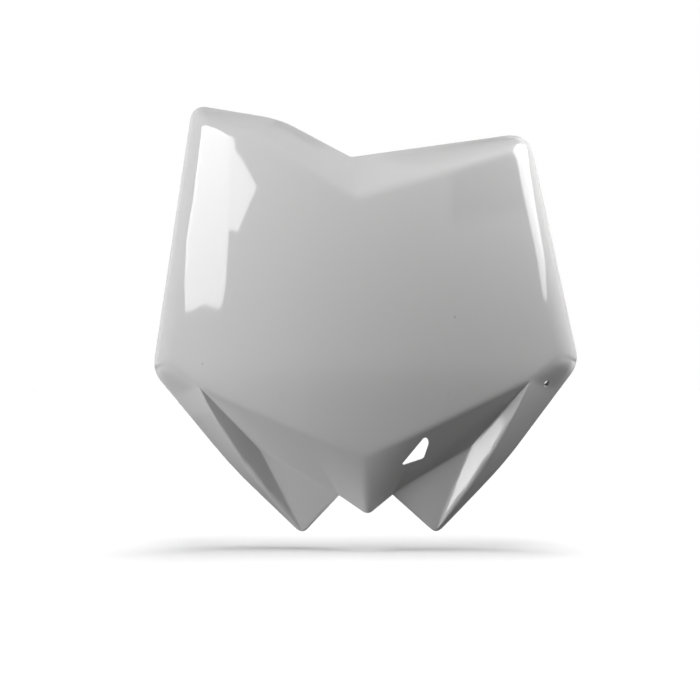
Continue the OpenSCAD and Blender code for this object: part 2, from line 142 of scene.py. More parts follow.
def coons(top: Points, bottom: Points, left: Points, right: Points) -> Points:
    """Fills four border lines with a Coons patch: mix of rows + mix of columns - mix of corners.

    Args:
        top: n + 1 points from left to right.
        bottom: n + 1 points from left to right.
        left: m + 1 points from top to bottom.
        right: m + 1 points from top to bottom.

    Returns:
        A grid of m + 1 rows and n + 1 columns.
    """
    u = np.linspace(0, 1, len(top))[None, :, None]
    v = np.linspace(0, 1, len(left))[:, None, None]
    rows = mix(top[None], bottom[None], v)
    columns = mix(left[:, None], right[:, None], u)
    corners = mix(mix(top[0], top[-1], u), mix(bottom[0], bottom[-1], u), v)
    return rows + columns - corners


def chain(*runs: Points) -> Points:
    """Joins runs of points that share their end points."""
    return np.concatenate([runs[0]] + [run[1:] for run in runs[1:]])


def facing(a: Points, b: Points, c: Points) -> Points:
    """Returns the unit normal of the plane through a, b and c that looks along -Y."""
    n = unit(np.cross(b - a, c - a))
    return -n if n[1] > 0 else n


@dataclass
class SkinMesh:
    """One welded skin: its vertices, its four-cornered faces and the order of its outline.

    A face with a pole has the same vertex twice.
    """

    vertices: Points
    quads: Indices
    outline: Indices

    def edges(self) -> Indices:
        """Lists the pairs of neighbours.

        Returns:
            Each pair once for each face that has it, lower index first.
        """
        ring = np.stack([self.quads, np.roll(self.quads, -1, axis=1)], axis=-1).reshape(-1, 2)
        ring = ring[ring[:, 0] != ring[:, 1]]
        return np.sort(ring, axis=1)

    def soften(
        self, creases: Sequence[tuple[Points, float]], reach: float, on_outline: float
    ) -> None:
        """Rounds the creases by repeated averaging with neighbours.

        A vertex at distance d from a crease of radius r is smoothed over the length
        r (1 - d / (reach r)), so it takes 2 (length / edge)^2 rounds. Vertices on the outline
        are averaged along the outline only, over no more than the outline's own length.

        Args:
            creases: lines with the radius of each.
            reach: how many radii away from its line a crease is softened.
            on_outline: greatest length that the outline is smoothed over.
        """
        length = np.zeros(len(self.vertices))
        for line, radius in creases:
            far = nearest(self.vertices, line)
            length = np.maximum(length, radius * np.clip(1 - far / (reach * radius), 0, 1))
        pairs, seen = np.unique(self.edges(), axis=0, return_counts=True)
        border = np.zeros(len(self.vertices), bool)
        border[pairs[seen == 1]] = True
        length = np.where(border, np.minimum(length, on_outline), length)
        use = (seen == 1)[:, None] | ~border[pairs]
        source, target = pairs, pairs[:, ::-1]
        to, come = source[use], target[use]
        count = np.bincount(to, minlength=len(border)).astype(float)
        step = np.linalg.norm(self.vertices[pairs[:, 0]] - self.vertices[pairs[:, 1]], axis=1)
        total = np.bincount(pairs.ravel(), np.repeat(step, 2), len(border))
        edge = total / np.bincount(pairs.ravel(), minlength=len(border))
        rounds = np.ceil(2 * (length / edge) ** 2).astype(int)
        for i in range(int(rounds.max())):
            mean = np.stack(
                [np.bincount(to, self.vertices[come, k], len(border)) / count for k in range(3)],
                axis=1,
            )
            moved = mix(self.vertices, mean, 0.5)
            self.vertices = np.where((rounds > i)[:, None], moved, self.vertices)


def nearest(points: Points, line: Points) -> Points:
    """Measures how far points lie from a line, a block of points at a time.

    The square of each distance is |p|^2 - 2 p.q + |q|^2.

    Args:
        points: the points to measure.
        line: points of the line.

    Returns:
        Each point's distance to the nearest point of the line.
    """
    blocks = np.array_split(points, max(1, len(points) * len(line) // PAIRS_AT_ONCE))
    squares = (line**2).sum(1)
    found = [((b**2).sum(1)[:, None] - 2 * b @ line.T + squares).min(1) for b in blocks]
    return np.sqrt(np.clip(np.concatenate(found), 0, None))


def coincident(points: Points, tolerance: float = 1e-6) -> Indices:
    """Finds points that lie in the same place.

    Points share a cell when floor(p / tolerance + shift) is the same. Three coordinates can
    fall on the limits of three of the four shifts at most, so one shift always joins a pair.

    Args:
        points: the points to compare.
        tolerance: how close points lie that are taken as one.

    Returns:
        For each point, the lowest index among the points in the same place.
    """
    lowest = np.arange(len(points))
    for shift in np.arange(4) / 4:
        cells = np.floor(points / tolerance + shift).astype(np.int64)
        group = np.unique(cells, axis=0, return_inverse=True)[1].reshape(-1)
        first = np.full(group.max() + 1, len(points))
        np.minimum.at(first, group, lowest)
        lowest = first[group]
    return lowest


def weld(grids: Sequence[Points], outline: Points) -> SkinMesh:
    """Joins grids that share borders into one skin.

    Args:
        grids: patches as rows of points.
        outline: the closed outline, whose points all lie on the patches' borders.

    Returns:
        The skin, with coincident points merged.
    """
    quads, first = [], 0
    for grid in grids:
        rows, columns = grid.shape[:2]
        ids = first + np.arange(rows * columns).reshape(rows, columns)
        corners = [ids[1:, :-1], ids[1:, 1:], ids[:-1, 1:], ids[:-1, :-1]]
        quads.append(np.stack(corners, axis=-1).reshape(-1, 4))
        first += rows * columns
    points = np.concatenate([g.reshape(-1, 3) for g in grids] + [outline])
    kept, back = np.unique(coincident(points), return_inverse=True)
    joined = back[np.concatenate(quads)]
    same = (joined == np.roll(joined, -1, axis=1)).sum(1)
    return SkinMesh(points[kept], joined[same < 2], back[first:])


def make_object(
    name: str, vertices: Points, quads: Indices, finish: Indices | None = None
) -> bpy.types.Object:
    """Puts a mesh into the scene as a piece of the board.

    Args:
        name: name of the piece.
        vertices: corners in the part's frame.
        quads: faces with four corners; a corner given twice in a row makes a triangle.
        finish: which of the piece's materials each face has.

    Returns:
        The object, riding on the only body.
    """
    pole = quads == np.roll(quads, -1, axis=1)
    whole = ~pole.any(axis=1)
    thirds = quads[~whole][~pole[~whole]].reshape(-1, 3)
    mesh = bpy.data.meshes.new(name)
    mesh.from_pydata(vertices.tolist(), [], quads[whole].tolist() + thirds.tolist())
    if finish is not None:
        order = np.concatenate([finish[whole], finish[~whole]])
        mesh.polygons.foreach_set("material_index", order.astype(np.int32))
    mesh.validate()
    mesh.shade_smooth()
    piece = bpy.data.objects.new(name, mesh)
    bpy.context.scene.collection.objects.link(piece)
    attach(piece, "root")
    return piece


def apply_modifiers(piece: bpy.types.Object) -> None:
    """Turns a piece's modifiers into its mesh, and shades it smooth.

    Args:
        piece: the piece, which then has no modifiers.
    """
    graph = bpy.context.evaluated_depsgraph_get()
    mesh = bpy.data.meshes.new_from_object(piece.evaluated_get(graph), depsgraph=graph)
    piece.modifiers.clear()
    piece.data = mesh
    smooth(piece)


def smooth(piece: bpy.types.Object, sharp_degrees: float = 32.0) -> None:
    """Shades a piece smooth, apart from edges that turn by more than the angle."""
    piece.data.shade_smooth()
    piece.data.set_sharp_from_angle(angle=float(np.radians(sharp_degrees)))


@dataclass(frozen=True)
class Steps:
    """How many steps each kind of border line has."""

    side: int = 84
    fold: int = 14
    lip: int = 48
    keel: int = 30
    shoulder: int = 34
    dip: int = 34
    prong: int = 38
    band: int = 20
    rib: int = 14
    rim: int = 6
    top_cross: int = 40
    side_cross: int = 30

    @property
    def right(self) -> int:
        """Steps of the crease right of the notch, which faces the whole lower border."""
        return self.fold + self.lip + self.keel


@dataclass
class BoardShell:
    """The moulded wall: a crowned face, a notched bevel, rolled sides, two scoops and a keel.

    The wall is a network of border lines between named corners. Each patch between them is a
    Coons patch or a bulged strip, the inner skin is the same network one wall behind, and the
    creases are then softened to their own radii. Corners on the main face have x and z, and the
    others x, depth and z. They are given for the right side, and the left side mirrors them.
    Names with _round are how far a corner's rounding reaches, and names with _fullness are how
    much a strip bulges.
    """

    crown_r: float = 0.290
    bow_r: float = 1.800
    crease_z: float = 0.1585
    fold: tuple[float, float] = (0.120, 0.0589)
    fold_top_x: float = 0.0966
    scoop: tuple[float, float] = (0.1044, 0.0448)
    keel: tuple[float, float] = (0.0403, 0.0168)
    crease_x: float = -0.0025
    notch: tuple[float, float, float] = (-0.0056, 0.017, 0.1852)
    peak: tuple[float, float] = (0.1075, 0.038)
    peak_left: tuple[float, float] = (0.2248, 0.0181)
    peak_right: tuple[float, float] = (0.2016, 0.0153)
    bend: tuple[float, float, float] = (-0.0505, 0.022, 0.2112)
    crease_bend: tuple[float, float] = (-0.0641, 0.2011)
    corner: tuple[float, float, float] = (0.1376, 0.044, 0.0542)
    knee: tuple[float, float, float] = (0.086, 0.034, -0.008)
    tip: tuple[float, float, float] = (0.0405, 0.020, -0.0492)
    knee_out: float = 0.0024
    tip_out: tuple[float, float] = (0.0033, -0.0008)
    valley: tuple[float, float, float] = (0.0662, 0.0245, 0.0028)
    gap: tuple[float, float, float] = (0.0169, 0.018, -0.0245)
    crest: tuple[float, float, float] = (0.079, 0.0150, -0.0083)
    nose: tuple[float, float, float] = (0.0013, 0.009, -0.0359)
    wall: float = 0.0025
    peak_left_round: float = 0.009
    peak_right_round: float = 0.015
    corner_round: float = 0.008
    fold_round: float = 0.005
    tip_round: float = 0.004
    knee_round: float = 0.018
    nose_round: float = 0.0035
    notch_round: float = 0.002
    bend_round: float = 0.012
    roll_fullness: float = 0.75
    rib_fullness: float = 0.15
    shoulder_fullness: float = 0.3
    hub_at: float = 0.28
    roll_width: float = 0.85
    roll_depth: float = 0.2
    tie_break: float = 0.02
    edge_round: float = 0.0008
    edge_power: float = 0.55
    outline_soft: float = 0.0006
    crease_reach: float = 2.2
    cross_soft: float = 0.0030
    notch_soft: float = 0.0014
    ridge_soft: tuple[float, ...] = (0.0010, 0.0022, 0.0045, 0.0070)
    chin_place: tuple[float, float, float] = (0.0, -0.034, -0.144)
    steps: Steps = Steps()

    def depth(self, x: Points, z: Points, behind: float = 0.0) -> Points:
        """Depth of the face: a cylinder of radius crown_r - behind, bowed by z^2 / (2 bow_r)."""
        across = self.crown_r - np.sqrt((self.crown_r - behind) ** 2 - x**2)
        return across + (z - self.crease_z / 2) ** 2 / (2 * self.bow_r)

    def lift(self, plan: Points, behind: float = 0.0) -> Points:
        """Returns points of a plan in x and z, lifted on to the face."""
        x, z = plan[..., 0], plan[..., 1]
        return np.stack([x, self.depth(x, z, behind), z], axis=-1)

    def side_corners(self, side: Side) -> dict[str, Points]:
        """Places the named corners of one side.

        Args:
            side: the side.

        Returns:
            The corners of the outer skin, by name.
        """
        top_z, band = self.peak_left if side is Side.LEFT else self.peak_right
        spread = np.array([float(side), 1.0, 1.0])
        plan = {
            "fold_top": (side * self.fold_top_x, top_z - band),
            "fold": (side * self.fold[0], self.fold[1]),
            "scoop": (side * self.scoop[0], self.scoop[1]),
            "keel": (side * self.keel[0], self.keel[1]),
        }
        solid = {
            name: np.array(getattr(self, name)) * spread
            for name in ("corner", "knee", "tip", "valley", "gap", "crest")
        }
        peak = np.array([side * self.peak[0], self.peak[1], top_z])
        if side is Side.RIGHT:
            solid["knee"][0] += self.knee_out
            solid["tip"] += np.array([self.tip_out[0], 0, self.tip_out[1]])
        return {"peak": peak, **solid, **{k: self.lift(np.array(v)) for k, v in plan.items()}}

    def middle_corners(self) -> dict[str, Points]:
        """Returns the named corners of the outer skin that belong to no side."""
        return {
            "chin": self.lift(np.zeros(2)),
            "crease": self.lift(np.array([self.crease_x, self.crease_z])),
            "notch": np.array(self.notch),
            "nose": np.array(self.nose),
            "bend": np.array(self.bend),
            "crease_bend": self.lift(np.array(self.crease_bend)),
        }

    def normals(self) -> dict[str, Points]:
        """Works out which way each facet looks.

        Returns:
            The outward normals, by names that end in _left or _right.
        """
        m = self.middle_corners()
        found: dict[str, Points] = {}
        for side in Side:
            q, tag = self.side_corners(side), "_" + side.name.lower()
            top = m["crease_bend"] if side is Side.LEFT else q["fold_top"]
            facets = {
                "bevel": (m["crease"], top, m["notch"]),
                "side": (q["fold"], q["fold_top"], mix(q["corner"], q["peak"], 0.5)),
                "rim": (q["scoop"], q["fold"], q["corner"]),
                "band": (q["scoop"], q["crest"], q["knee"]),
                "band_low": (q["crest"], q["tip"], q["knee"]),
                "rib": (q["scoop"], q["valley"], q["crest"]),
                "rib_low": (q["valley"], q["tip"], q["crest"]),
                "lip": (q["scoop"], q["keel"], q["valley"]),
                "prong": (q["valley"], q["gap"], q["tip"]),
                "keel": (q["keel"], m["chin"], q["gap"]),
            }
            found.update({name + tag: facing(*facet) for name, facet in facets.items()})
        left = self.side_corners(Side.LEFT)
        found["shoulder_left"] = facing(left["fold_top"], m["crease_bend"], left["peak"])
        found["shoulder_right"] = found["bevel_right"]
        return found

    def mitre(self, normals: Iterable[Points]) -> Points:
        """Shift of a corner that lies one wall behind every facet: least squares with a tie-break."""
        rows = np.array(list(normals))
        return np.linalg.solve(rows.T @ rows + self.tie_break * np.eye(3), -self.wall * rows.sum(0))

    def face_normal(self, p: Points) -> Points:
        """Outward normal of the crowned face at a point."""
        return unit(np.array([p[0], -np.sqrt(self.crown_r**2 - p[0] ** 2), 0]))

    def skin_corners(self, skin: Skin) -> dict[str, Points]:
        """Places the corners of one skin.

        An inner corner lies one wall behind all the facets that meet in it, and a corner of the
        main face stays on the inner skin's crown.

        Args:
            skin: the skin.

        Returns:
            The corners, by names that end in _left or _right where they have a side.
        """
        n = self.normals()
        corners = self.middle_corners()
        meets = {
            "chin": ("face", "keel_left", "keel_right"),
            "crease": ("face", "bevel_left", "bevel_right"),
            "notch": ("bevel_left", "bevel_right"),
            "nose": ("keel_left", "keel_right"),
            "bend": ("bevel_left", "shoulder_left"),
            "crease_bend": ("face", "bevel_left", "shoulder_left"),
        }
        side_meets = {
            "fold_top": ("face", "shoulder", "side"),
            "peak": ("shoulder", "side"),
            "fold": ("face", "side", "rim"),
            "corner": ("side", "rim"),
            "scoop": ("face", "rim", "rib", "lip"),
            "keel": ("face", "lip", "keel"),
            "valley": ("lip", "prong", "rib", "rib_low"),
            "gap": ("lip", "prong", "keel"),
            "tip": ("prong", "band_low", "rib_low"),
            "knee": ("band", "band_low"),
            "crest": ("band", "band_low", "rib", "rib_low"),
        }
        for side in Side:
            tag = "_" + side.name.lower()
            corners.update({k + tag: v for k, v in self.side_corners(side).items()})
            for name, facets in side_meets.items():
                meets[name + tag] = tuple(f if f == "face" else f + tag for f in facets)
        if skin is Skin.OUTER:
            return corners
        inner = {}
        for name, place in corners.items():
            faces = [self.face_normal(place) if f == "face" else n[f] for f in meets[name]]
            moved = place + self.mitre(faces)
            inner[name] = self.lift(moved[[0, 2]], self.wall) if "face" in meets[name] else moved
        return inner

    def face_stretch(
        self, corners: Sequence[Points], rounds: tuple[float, float], n: int, skin: Skin
    ) -> Points:
        """A rounded stretch of the main face's border, worked out in plan and lifted on to it."""
        plan = [c[[0, 2]] for c in corners]
        return self.lift(rounded_stretch(*plan, *rounds, n), skin * self.wall)

    def side_lines(self, side: Side, skin: Skin) -> dict[str, Points]:
        """Draws the border lines of one side of one skin.

        The ridge of the outer rib is a quadratic curve from the scoop to the tip that the crest
        pulls outwards; the rest are straight or rounded stretches between corners.

        Args:
            side: the side.
            skin: the skin.

        Returns:
            The lines, by name.
        """
        c, k = self.skin_corners(skin), self.steps
        tag = "_" + side.name.lower()
        q = {name[: -len(tag)]: p for name, p in c.items() if name.endswith(tag)}
        left = side is Side.LEFT
        top_in, top_out = (c["crease_bend"], c["bend"]) if left else (c["crease"], c["notch"])
        peak_round = self.peak_left_round if left else self.peak_right_round
        fr, cr = self.fold_round, self.corner_round

        def on_face(names: str, rounds: tuple[float, float], n: int) -> Points:
            """A stretch of the face's border between the middle two of four named corners."""
            return self.face_stretch([near[name] for name in names.split()], rounds, n, skin)

        def free(names: str, rounds: tuple[float, float], n: int) -> Points:
            """A stretch between the middle two of four named corners."""
            return rounded_stretch(*[near[name] for name in names.split()], *rounds, n)

        near = {
            **q, "hub": mix(q["corner"], q["knee"], self.hub_at), "chin": c["chin"], "nose": c["nose"],
            "top_in": top_in, "top_out": top_out, "past_chin": c["chin"] + side,
            "other_gap": c["gap_right" if left else "gap_left"],
        }
        tip_round = self.tip_round
        lines = {
            "fold_side": on_face("scoop fold fold_top top_in", (fr, fr), k.side),
            "fold_low": on_face("keel scoop fold fold_top", (0, fr), k.fold),
            "lip": on_face("fold scoop keel chin", (0, 0), k.lip),
            "keel_top": on_face("scoop keel chin past_chin", (0, 0), k.keel),
            "edge_side": free("knee corner peak top_out", (cr, peak_round), k.side),
            "edge_low": free("knee hub corner peak", (0, cr), k.fold),
            "rim_far": free("corner hub knee tip", (0, self.knee_round), k.dip),
            "rim_tip": free("hub knee tip gap", (self.knee_round, tip_round), k.prong),
            "prong_edge": free("knee tip gap nose", (tip_round, 0), k.prong)[::-1],
            "nose_edge": free("tip gap nose other_gap", (0, self.nose_round), k.keel),
            "floor": straight(q["valley"], q["gap"], k.lip),
            "keel_side": straight(q["keel"], q["gap"], k.dip),
        }
        tip = lines["rim_tip"][-1]
        ridge_t = np.linspace(0, 1, k.dip + k.prong + 1)
        lines["ridge"] = bezier(q["scoop"], q["crest"], tip, ridge_t)
        lines["dip"] = straight(q["scoop"], q["valley"], k.dip)
        lines["prong_in"] = straight(q["valley"], tip, k.prong)
        lines["rim"] = chain(lines["rim_far"], lines["rim_tip"])
        lines["rib_foot"] = chain(lines["dip"], lines["prong_in"])
        lines["chin"] = straight(c["chin"], lines["nose_edge"][-1], k.dip)
        return lines

    def top_lines(self, skin: Skin) -> tuple[Points, Points]:
        """Draws the two long lines of the bevel.

        Args:
            skin: the skin.

        Returns:
            The crease under the top edge and the top edge, both from left to right.
        """
        c, k, fr = self.skin_corners(skin), self.steps, self.fold_round
        bevel = k.right - k.shoulder
        creases = "fold_left fold_top_left crease_bend crease fold_top_right fold_right"
        edges = "corner_left peak_left bend notch peak_right corner_right"
        inner, outer = [[c[name] for name in names.split()] for names in (creases, edges)]
        crease = chain(
            self.face_stretch(inner[0:4], (fr, 0), k.shoulder, skin),
            self.face_stretch(inner[1:5], (0, 0), bevel, skin),
            self.face_stretch(inner[2:6], (0, fr), k.right, skin),
        )
        edge = chain(
            rounded_stretch(*outer[0:4], self.peak_left_round, self.bend_round, k.shoulder),
            rounded_stretch(*outer[1:5], self.bend_round, self.notch_round, bevel),
            rounded_stretch(*outer[2:6], self.notch_round, self.peak_right_round, k.right),
        )
        return crease, edge

    def band(self, inner: Points, outer: Points, fullness: Points) -> Points:
        """A strip between two lines, bulged outwards as a quadratic curve across each pair.

        Its pull point lies between the middle of the chord, at fullness 0, and the point that
        has gone roll_width of the way across and roll_depth of the way back, at fullness 1.

        Args:
            inner: the line that the strip starts from.
            outer: the line that it ends at.
            fullness: how full it is at each pair of points.

        Returns:
            Rows from the inner line to the outer one.
        """
        share = np.array([self.roll_width, self.roll_depth, self.roll_width])
        pull = mix(mix(inner, outer, 0.5), mix(inner, outer, share), fullness[:, None])
        v = np.linspace(0, 1, self.steps.band + 1)[:, None, None]
        return (1 - v) ** 2 * inner + 2 * v * (1 - v) * pull + v**2 * outer

    def skin(self, skin: Skin) -> SkinMesh:
        """Makes one skin of the wall from its patches, with softened creases.

        Args:
            skin: the skin.

        Returns:
            The welded skin.
        """
        k = self.steps
        left, right = self.side_lines(Side.LEFT, skin), self.side_lines(Side.RIGHT, skin)
        crease, edge = self.top_lines(skin)
        low = chain(
            left["fold_low"][::-1], left["lip"], left["keel_top"],
            right["keel_top"][::-1], right["lip"][::-1], right["fold_low"],
        )
        frame_lines = (crease, low, left["fold_side"][::-1], right["fold_side"][::-1])
        flat = [line[:, [0, 2]] for line in frame_lines]
        roll, rib = self.roll_fullness, self.rib_fullness
        swell = {
            "low": np.linspace(rib, roll, k.fold + 1),
            "side": np.full(k.side + 1, roll),
            "left": np.linspace(roll, self.shoulder_fullness, k.shoulder + 1),
            "bevel": np.linspace(self.shoulder_fullness, 0, k.right - k.shoulder + 1),
            "right": np.linspace(0, roll, k.right + 1),
        }
        fullness = chain(
            swell["low"], swell["side"], swell["left"], swell["bevel"], swell["right"],
            swell["side"], swell["low"][::-1],
        )
        ring_in = chain(
            left["fold_low"], left["fold_side"], crease, right["fold_side"][::-1], right["fold_low"][::-1]
        )
        ring_out = chain(
            left["edge_low"], left["edge_side"], edge, right["edge_side"][::-1], right["edge_low"][::-1]
        )
        face = self.lift(coons(*flat), skin * self.wall)
        grids = [face, self.band(ring_in, ring_out, fullness)[:, ::-1]]
        for side, q in ((Side.LEFT, left), (Side.RIGHT, right)):
            grids += self.side_patches(q, turn=side is Side.RIGHT)
        outline = chain(self.side_outline(left), edge, self.side_outline(right)[::-1])
        mesh = weld(grids, outline)
        mesh.soften(self.creases(left, right, crease, edge), self.crease_reach, self.outline_soft)
        return mesh

    def side_patches(self, q: dict[str, Points], turn: bool) -> list[Points]:
        """Fills the patches of one side below the face.

        Args:
            q: the side's border lines, by name.
            turn: whether to reverse the patches, as one of the two sides needs.

        Returns:
            The rim, rib, lip, prong and keel patches.
        """
        k, dip = self.steps, self.steps.dip
        rim_swell = np.linspace(self.rib_fullness, 0, len(q["ridge"]))
        pole = np.repeat(q["rim"][-1:], k.lip + 1, axis=0)
        patches = [
            self.band(q["ridge"], q["rim"], rim_swell),
            coons(q["ridge"], q["rib_foot"], straight(q["ridge"][0], q["rib_foot"][0], k.rib),
                  straight(q["ridge"][-1], q["rib_foot"][-1], k.rib))[:, ::-1],
            coons(q["lip"], q["floor"], q["rib_foot"][: dip + 1], q["keel_side"]),
            coons(q["floor"], pole, q["rib_foot"][dip:], q["prong_edge"]),
            coons(q["keel_top"], q["nose_edge"], q["keel_side"], q["chin"]),
        ]
        return [p[:, ::-1] for p in patches] if turn else patches

    def side_outline(self, q: dict[str, Points]) -> Points:
        """Returns the free edge of one side, from the nose round the tip to the peak."""
        below = chain(q["nose_edge"][::-1], q["prong_edge"], q["rim"][::-1])
        return chain(below, q["edge_low"], q["edge_side"])

    def creases(
        self, left: dict[str, Points], right: dict[str, Points], crease: Points, edge: Points
    ) -> list[tuple[Points, float]]:
        """Lists the lines where facets meet.

        Args:
            left: the left side's border lines, by name.
            right: the right side's border lines, by name.
            crease: the crease under the top edge.
            edge: the top edge.

        Returns:
            Every crease line with the radius that it is softened to.
        """
        k, soft = self.steps, self.cross_soft
        radii = {
            "fold_side": 0.0030, "fold_low": 0.0020, "lip": 0.0028, "keel_top": 0.0024,
            "rib_foot": 0.0005, "floor": 0.0007, "keel_side": 0.0012, "chin": 0.0008,
        }
        bend, notch = k.shoulder, k.right
        found = [
            (crease, soft),
            (straight(crease[bend], edge[bend], k.top_cross), soft),
            (straight(crease[notch], edge[notch], k.top_cross), self.notch_soft),
        ]
        for q in (left, right):
            found += [(q[name], radius) for name, radius in radii.items()]
            found += zip(np.array_split(q["ridge"], len(self.ridge_soft)), self.ridge_soft)
            ends = (
                (q["fold_side"][0], q["edge_side"][0]), (q["fold_side"][-1], q["edge_side"][-1]),
                (q["ridge"][0], q["rim"][0]),
            )
            found += [(straight(a, b, k.side_cross), soft) for a, b in ends]
        return found

    def rim_strip(self, outer: Points, inner: Points) -> Points:
        """Closes the wall with a rounded edge.

        Each cross-section is half a superellipse with q = edge_power: p = middle +
        |cos|^q (outer - inner) / 2 + (|sin|^q - 1) edge_round b, where b points along the skin,
        out of the board.

        Args:
            outer: the outer skin's outline.
            inner: the inner skin's outline.

        Returns:
            Rows from the outer outline, pulled back by edge_round, to the inner one.
        """
        ahead = np.roll(outer, -1, axis=0) - np.roll(outer, 1, axis=0)
        out = unit(np.cross(ahead, outer - inner))
        phi = np.linspace(0, np.pi, self.steps.rim * 2 + 1)[:, None, None]
        swing = np.sign(np.cos(phi)) * np.abs(np.cos(phi)) ** self.edge_power
        reach = (np.abs(np.sin(phi)) ** self.edge_power - 1) * self.edge_round
        return (outer + inner) / 2 + swing * (outer - inner) / 2 + reach * out

    def mesh(self) -> tuple[Points, Indices, Indices]:
        """Joins both skins by a rounded rim into one closed wall.

        Returns:
            Vertices in the part's frame, faces, and each face's skin.
        """
        front, back = self.skin(Skin.OUTER), self.skin(Skin.INNER)
        ring = slice(0, -1)
        strip = self.rim_strip(front.vertices[front.outline][ring], back.vertices[back.outline][ring])
        front.vertices[front.outline[ring]] = strip[0]
        back.vertices[back.outline[ring]] = strip[-1]
        shift = len(front.vertices)
        between = strip[1:-1]
        rows, columns = between.shape[:2]
        ids = shift + len(back.vertices) + np.arange(rows * columns).reshape(rows, columns)
        rings = np.concatenate([front.outline[None, ring], ids, back.outline[None, ring] + shift])
        after = np.roll(rings, -1, axis=1)
        side = np.stack([rings[:-1], after[:-1], after[1:], rings[1:]], axis=-1).reshape(-1, 4)
        vertices = np.concatenate([front.vertices, back.vertices, between.reshape(-1, 3)])
        quads = np.concatenate([front.quads, back.quads[:, ::-1] + shift, side])
        counts = [len(front.quads), len(back.quads), len(side)]
        skins = np.repeat([Skin.OUTER, Skin.INNER, Skin.OUTER], counts)
        return vertices + np.array(self.chin_place), quads, skins

    def build(self, outside: bpy.types.Material, inside: bpy.types.Material) -> bpy.types.Object:
        """Makes the shell as one piece that stands for the whole board.

        Args:
            outside: finish of the outer skin and the rim.
            inside: finish of the inner skin.

        Returns:
            The piece.
        """
        shell = make_object("board_shell", *self.mesh())
        shell.data.materials.append(outside)
        shell.data.materials.append(inside)
        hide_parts("number_board")
        return shell


def prism(name: str, outline: Points, sweep: Points) -> bpy.types.Object:
    """A closed prism: every point is outline(s) + t sweep, with t from 0 to 1 and two flat ends.

    Args:
        name: name of the piece.
        outline: corners of one end, in order.
        sweep: the way from that end to the other.

    Returns:
        The piece, with its faces pointing outwards.
    """
    n = len(outline)
    ids = np.arange(n)
    sides = np.stack([ids, np.roll(ids, -1), np.roll(ids, -1) + n, ids + n], axis=1)
    mesh = bpy.data.meshes.new(name)
    ends = [ids[::-1].tolist(), (ids + n).tolist()]
    mesh.from_pydata(np.concatenate([outline, outline + sweep]).tolist(), [], sides.tolist() + ends)
    piece = bpy.data.objects.new(name, mesh)
    bpy.context.scene.collection.objects.link(piece)
    turn_outwards(piece)
    return piece


def turn_outwards(piece: bpy.types.Object) -> None:
    """Recalculates a closed mesh's normals so that they point outwards.

    Args:
        piece: the piece with that mesh.
    """
    work = bmesh.new()
    work.from_mesh(piece.data)
    bmesh.ops.recalc_face_normals(work, faces=work.faces)
    work.to_mesh(piece.data)
    work.free()


def cut(piece: bpy.types.Object, cutter: bpy.types.Object) -> None:
    """Takes a volume out of a piece.

    Args:
        piece: the piece to cut.
        cutter: the volume, which is removed afterwards.
    """
    modifier = piece.modifiers.new("cut", "BOOLEAN")
    modifier.operation = "DIFFERENCE"
    modifier.solver = "MANIFOLD"
    modifier.object = cutter
    apply_modifiers(piece)
    bpy.data.objects.remove(cutter)


def rounded_outline(corners: Points, reach: Points, n: int = 9) -> Points:
    """Rounds the corners of a closed plan by quadratic curves.

    Args:
        corners: the plan's corners, in order.
        reach: how far each rounding goes along both legs.
        n: number of points on each rounding.

    Returns:
        The rounded plan's points, in order.
    """
    t = np.linspace(0, 1, n)
    before, after = np.roll(corners, 1, axis=0), np.roll(corners, -1, axis=0)
    leave, join = corners + unit(before - corners) * reach, corners + unit(after - corners) * reach
    return np.concatenate([bezier(a, c, b, t) for a, c, b in zip(leave, corners, join)])


@dataclass
class Openings:
    """The window beside the keel and the small tie hole, both on the right.

    The window's corners are x and z: low from the chin, the others from low. The tie hole lies
    tie_along of the way from the scoop and tie_across of the way out, and slants up inwards.
    """

    low: tuple[float, float] = (0.0219, -0.0068)
    side: tuple[float, float] = (0.0147, 0.0042)
    shoulder: tuple[float, float] = (0.0185, 0.0154)
    top: tuple[float, float] = (0.0154, 0.0183)
    rounding: tuple[float, float, float, float] = (0.0035, 0.0018, 0.0035, 0.0022)
    front: float = -0.005
    back: float = 0.044
    tie_r: float = 0.0024
    tie_along: float = 0.1
    tie_across: float = 0.47
    tie_depth: float = 0.010
    tie_rise: float = -0.0085
    tie_steps: int = 64

    def cut_from(self, piece: bpy.types.Object, shell: BoardShell) -> None:
        """Cuts both openings.

        Args:
            piece: the shell's piece.
            shell: the shell's sizes.
        """
        low, place = np.array(self.low), np.array(shell.chin_place)
        corners = np.stack([low, low + self.side, low + self.shoulder, low + self.top])
        plan = rounded_outline(corners, np.array(self.rounding)[:, None])
        outline = np.stack([plan[:, 0], np.full(len(plan), self.front), plan[:, 1]], axis=1)
        cut(piece, prism("window", outline + place, np.array([0, self.back - self.front, 0])))
        q = shell.side_corners(Side.RIGHT)
        inner = mix(q["scoop"], q["fold"], self.tie_along)
        hub = mix(q["corner"], q["knee"], shell.hub_at)
        outer = mix(hub, q["corner"], self.tie_along)
        axis = facing(inner, outer, q["fold"])
        across = unit(np.cross(axis, [0, 0, 1.0]))
        turn = np.linspace(0, 2 * np.pi, self.tie_steps, endpoint=False)[:, None]
        ring = self.tie_r * (np.cos(turn) * across + np.sin(turn) * np.cross(axis, across))
        sweep = axis * self.tie_depth + np.array([0, 0, self.tie_rise])
        centre = mix(inner, outer, self.tie_across) - sweep / 2 + place
        cut(piece, prism("tie_hole", centre + ring, sweep))


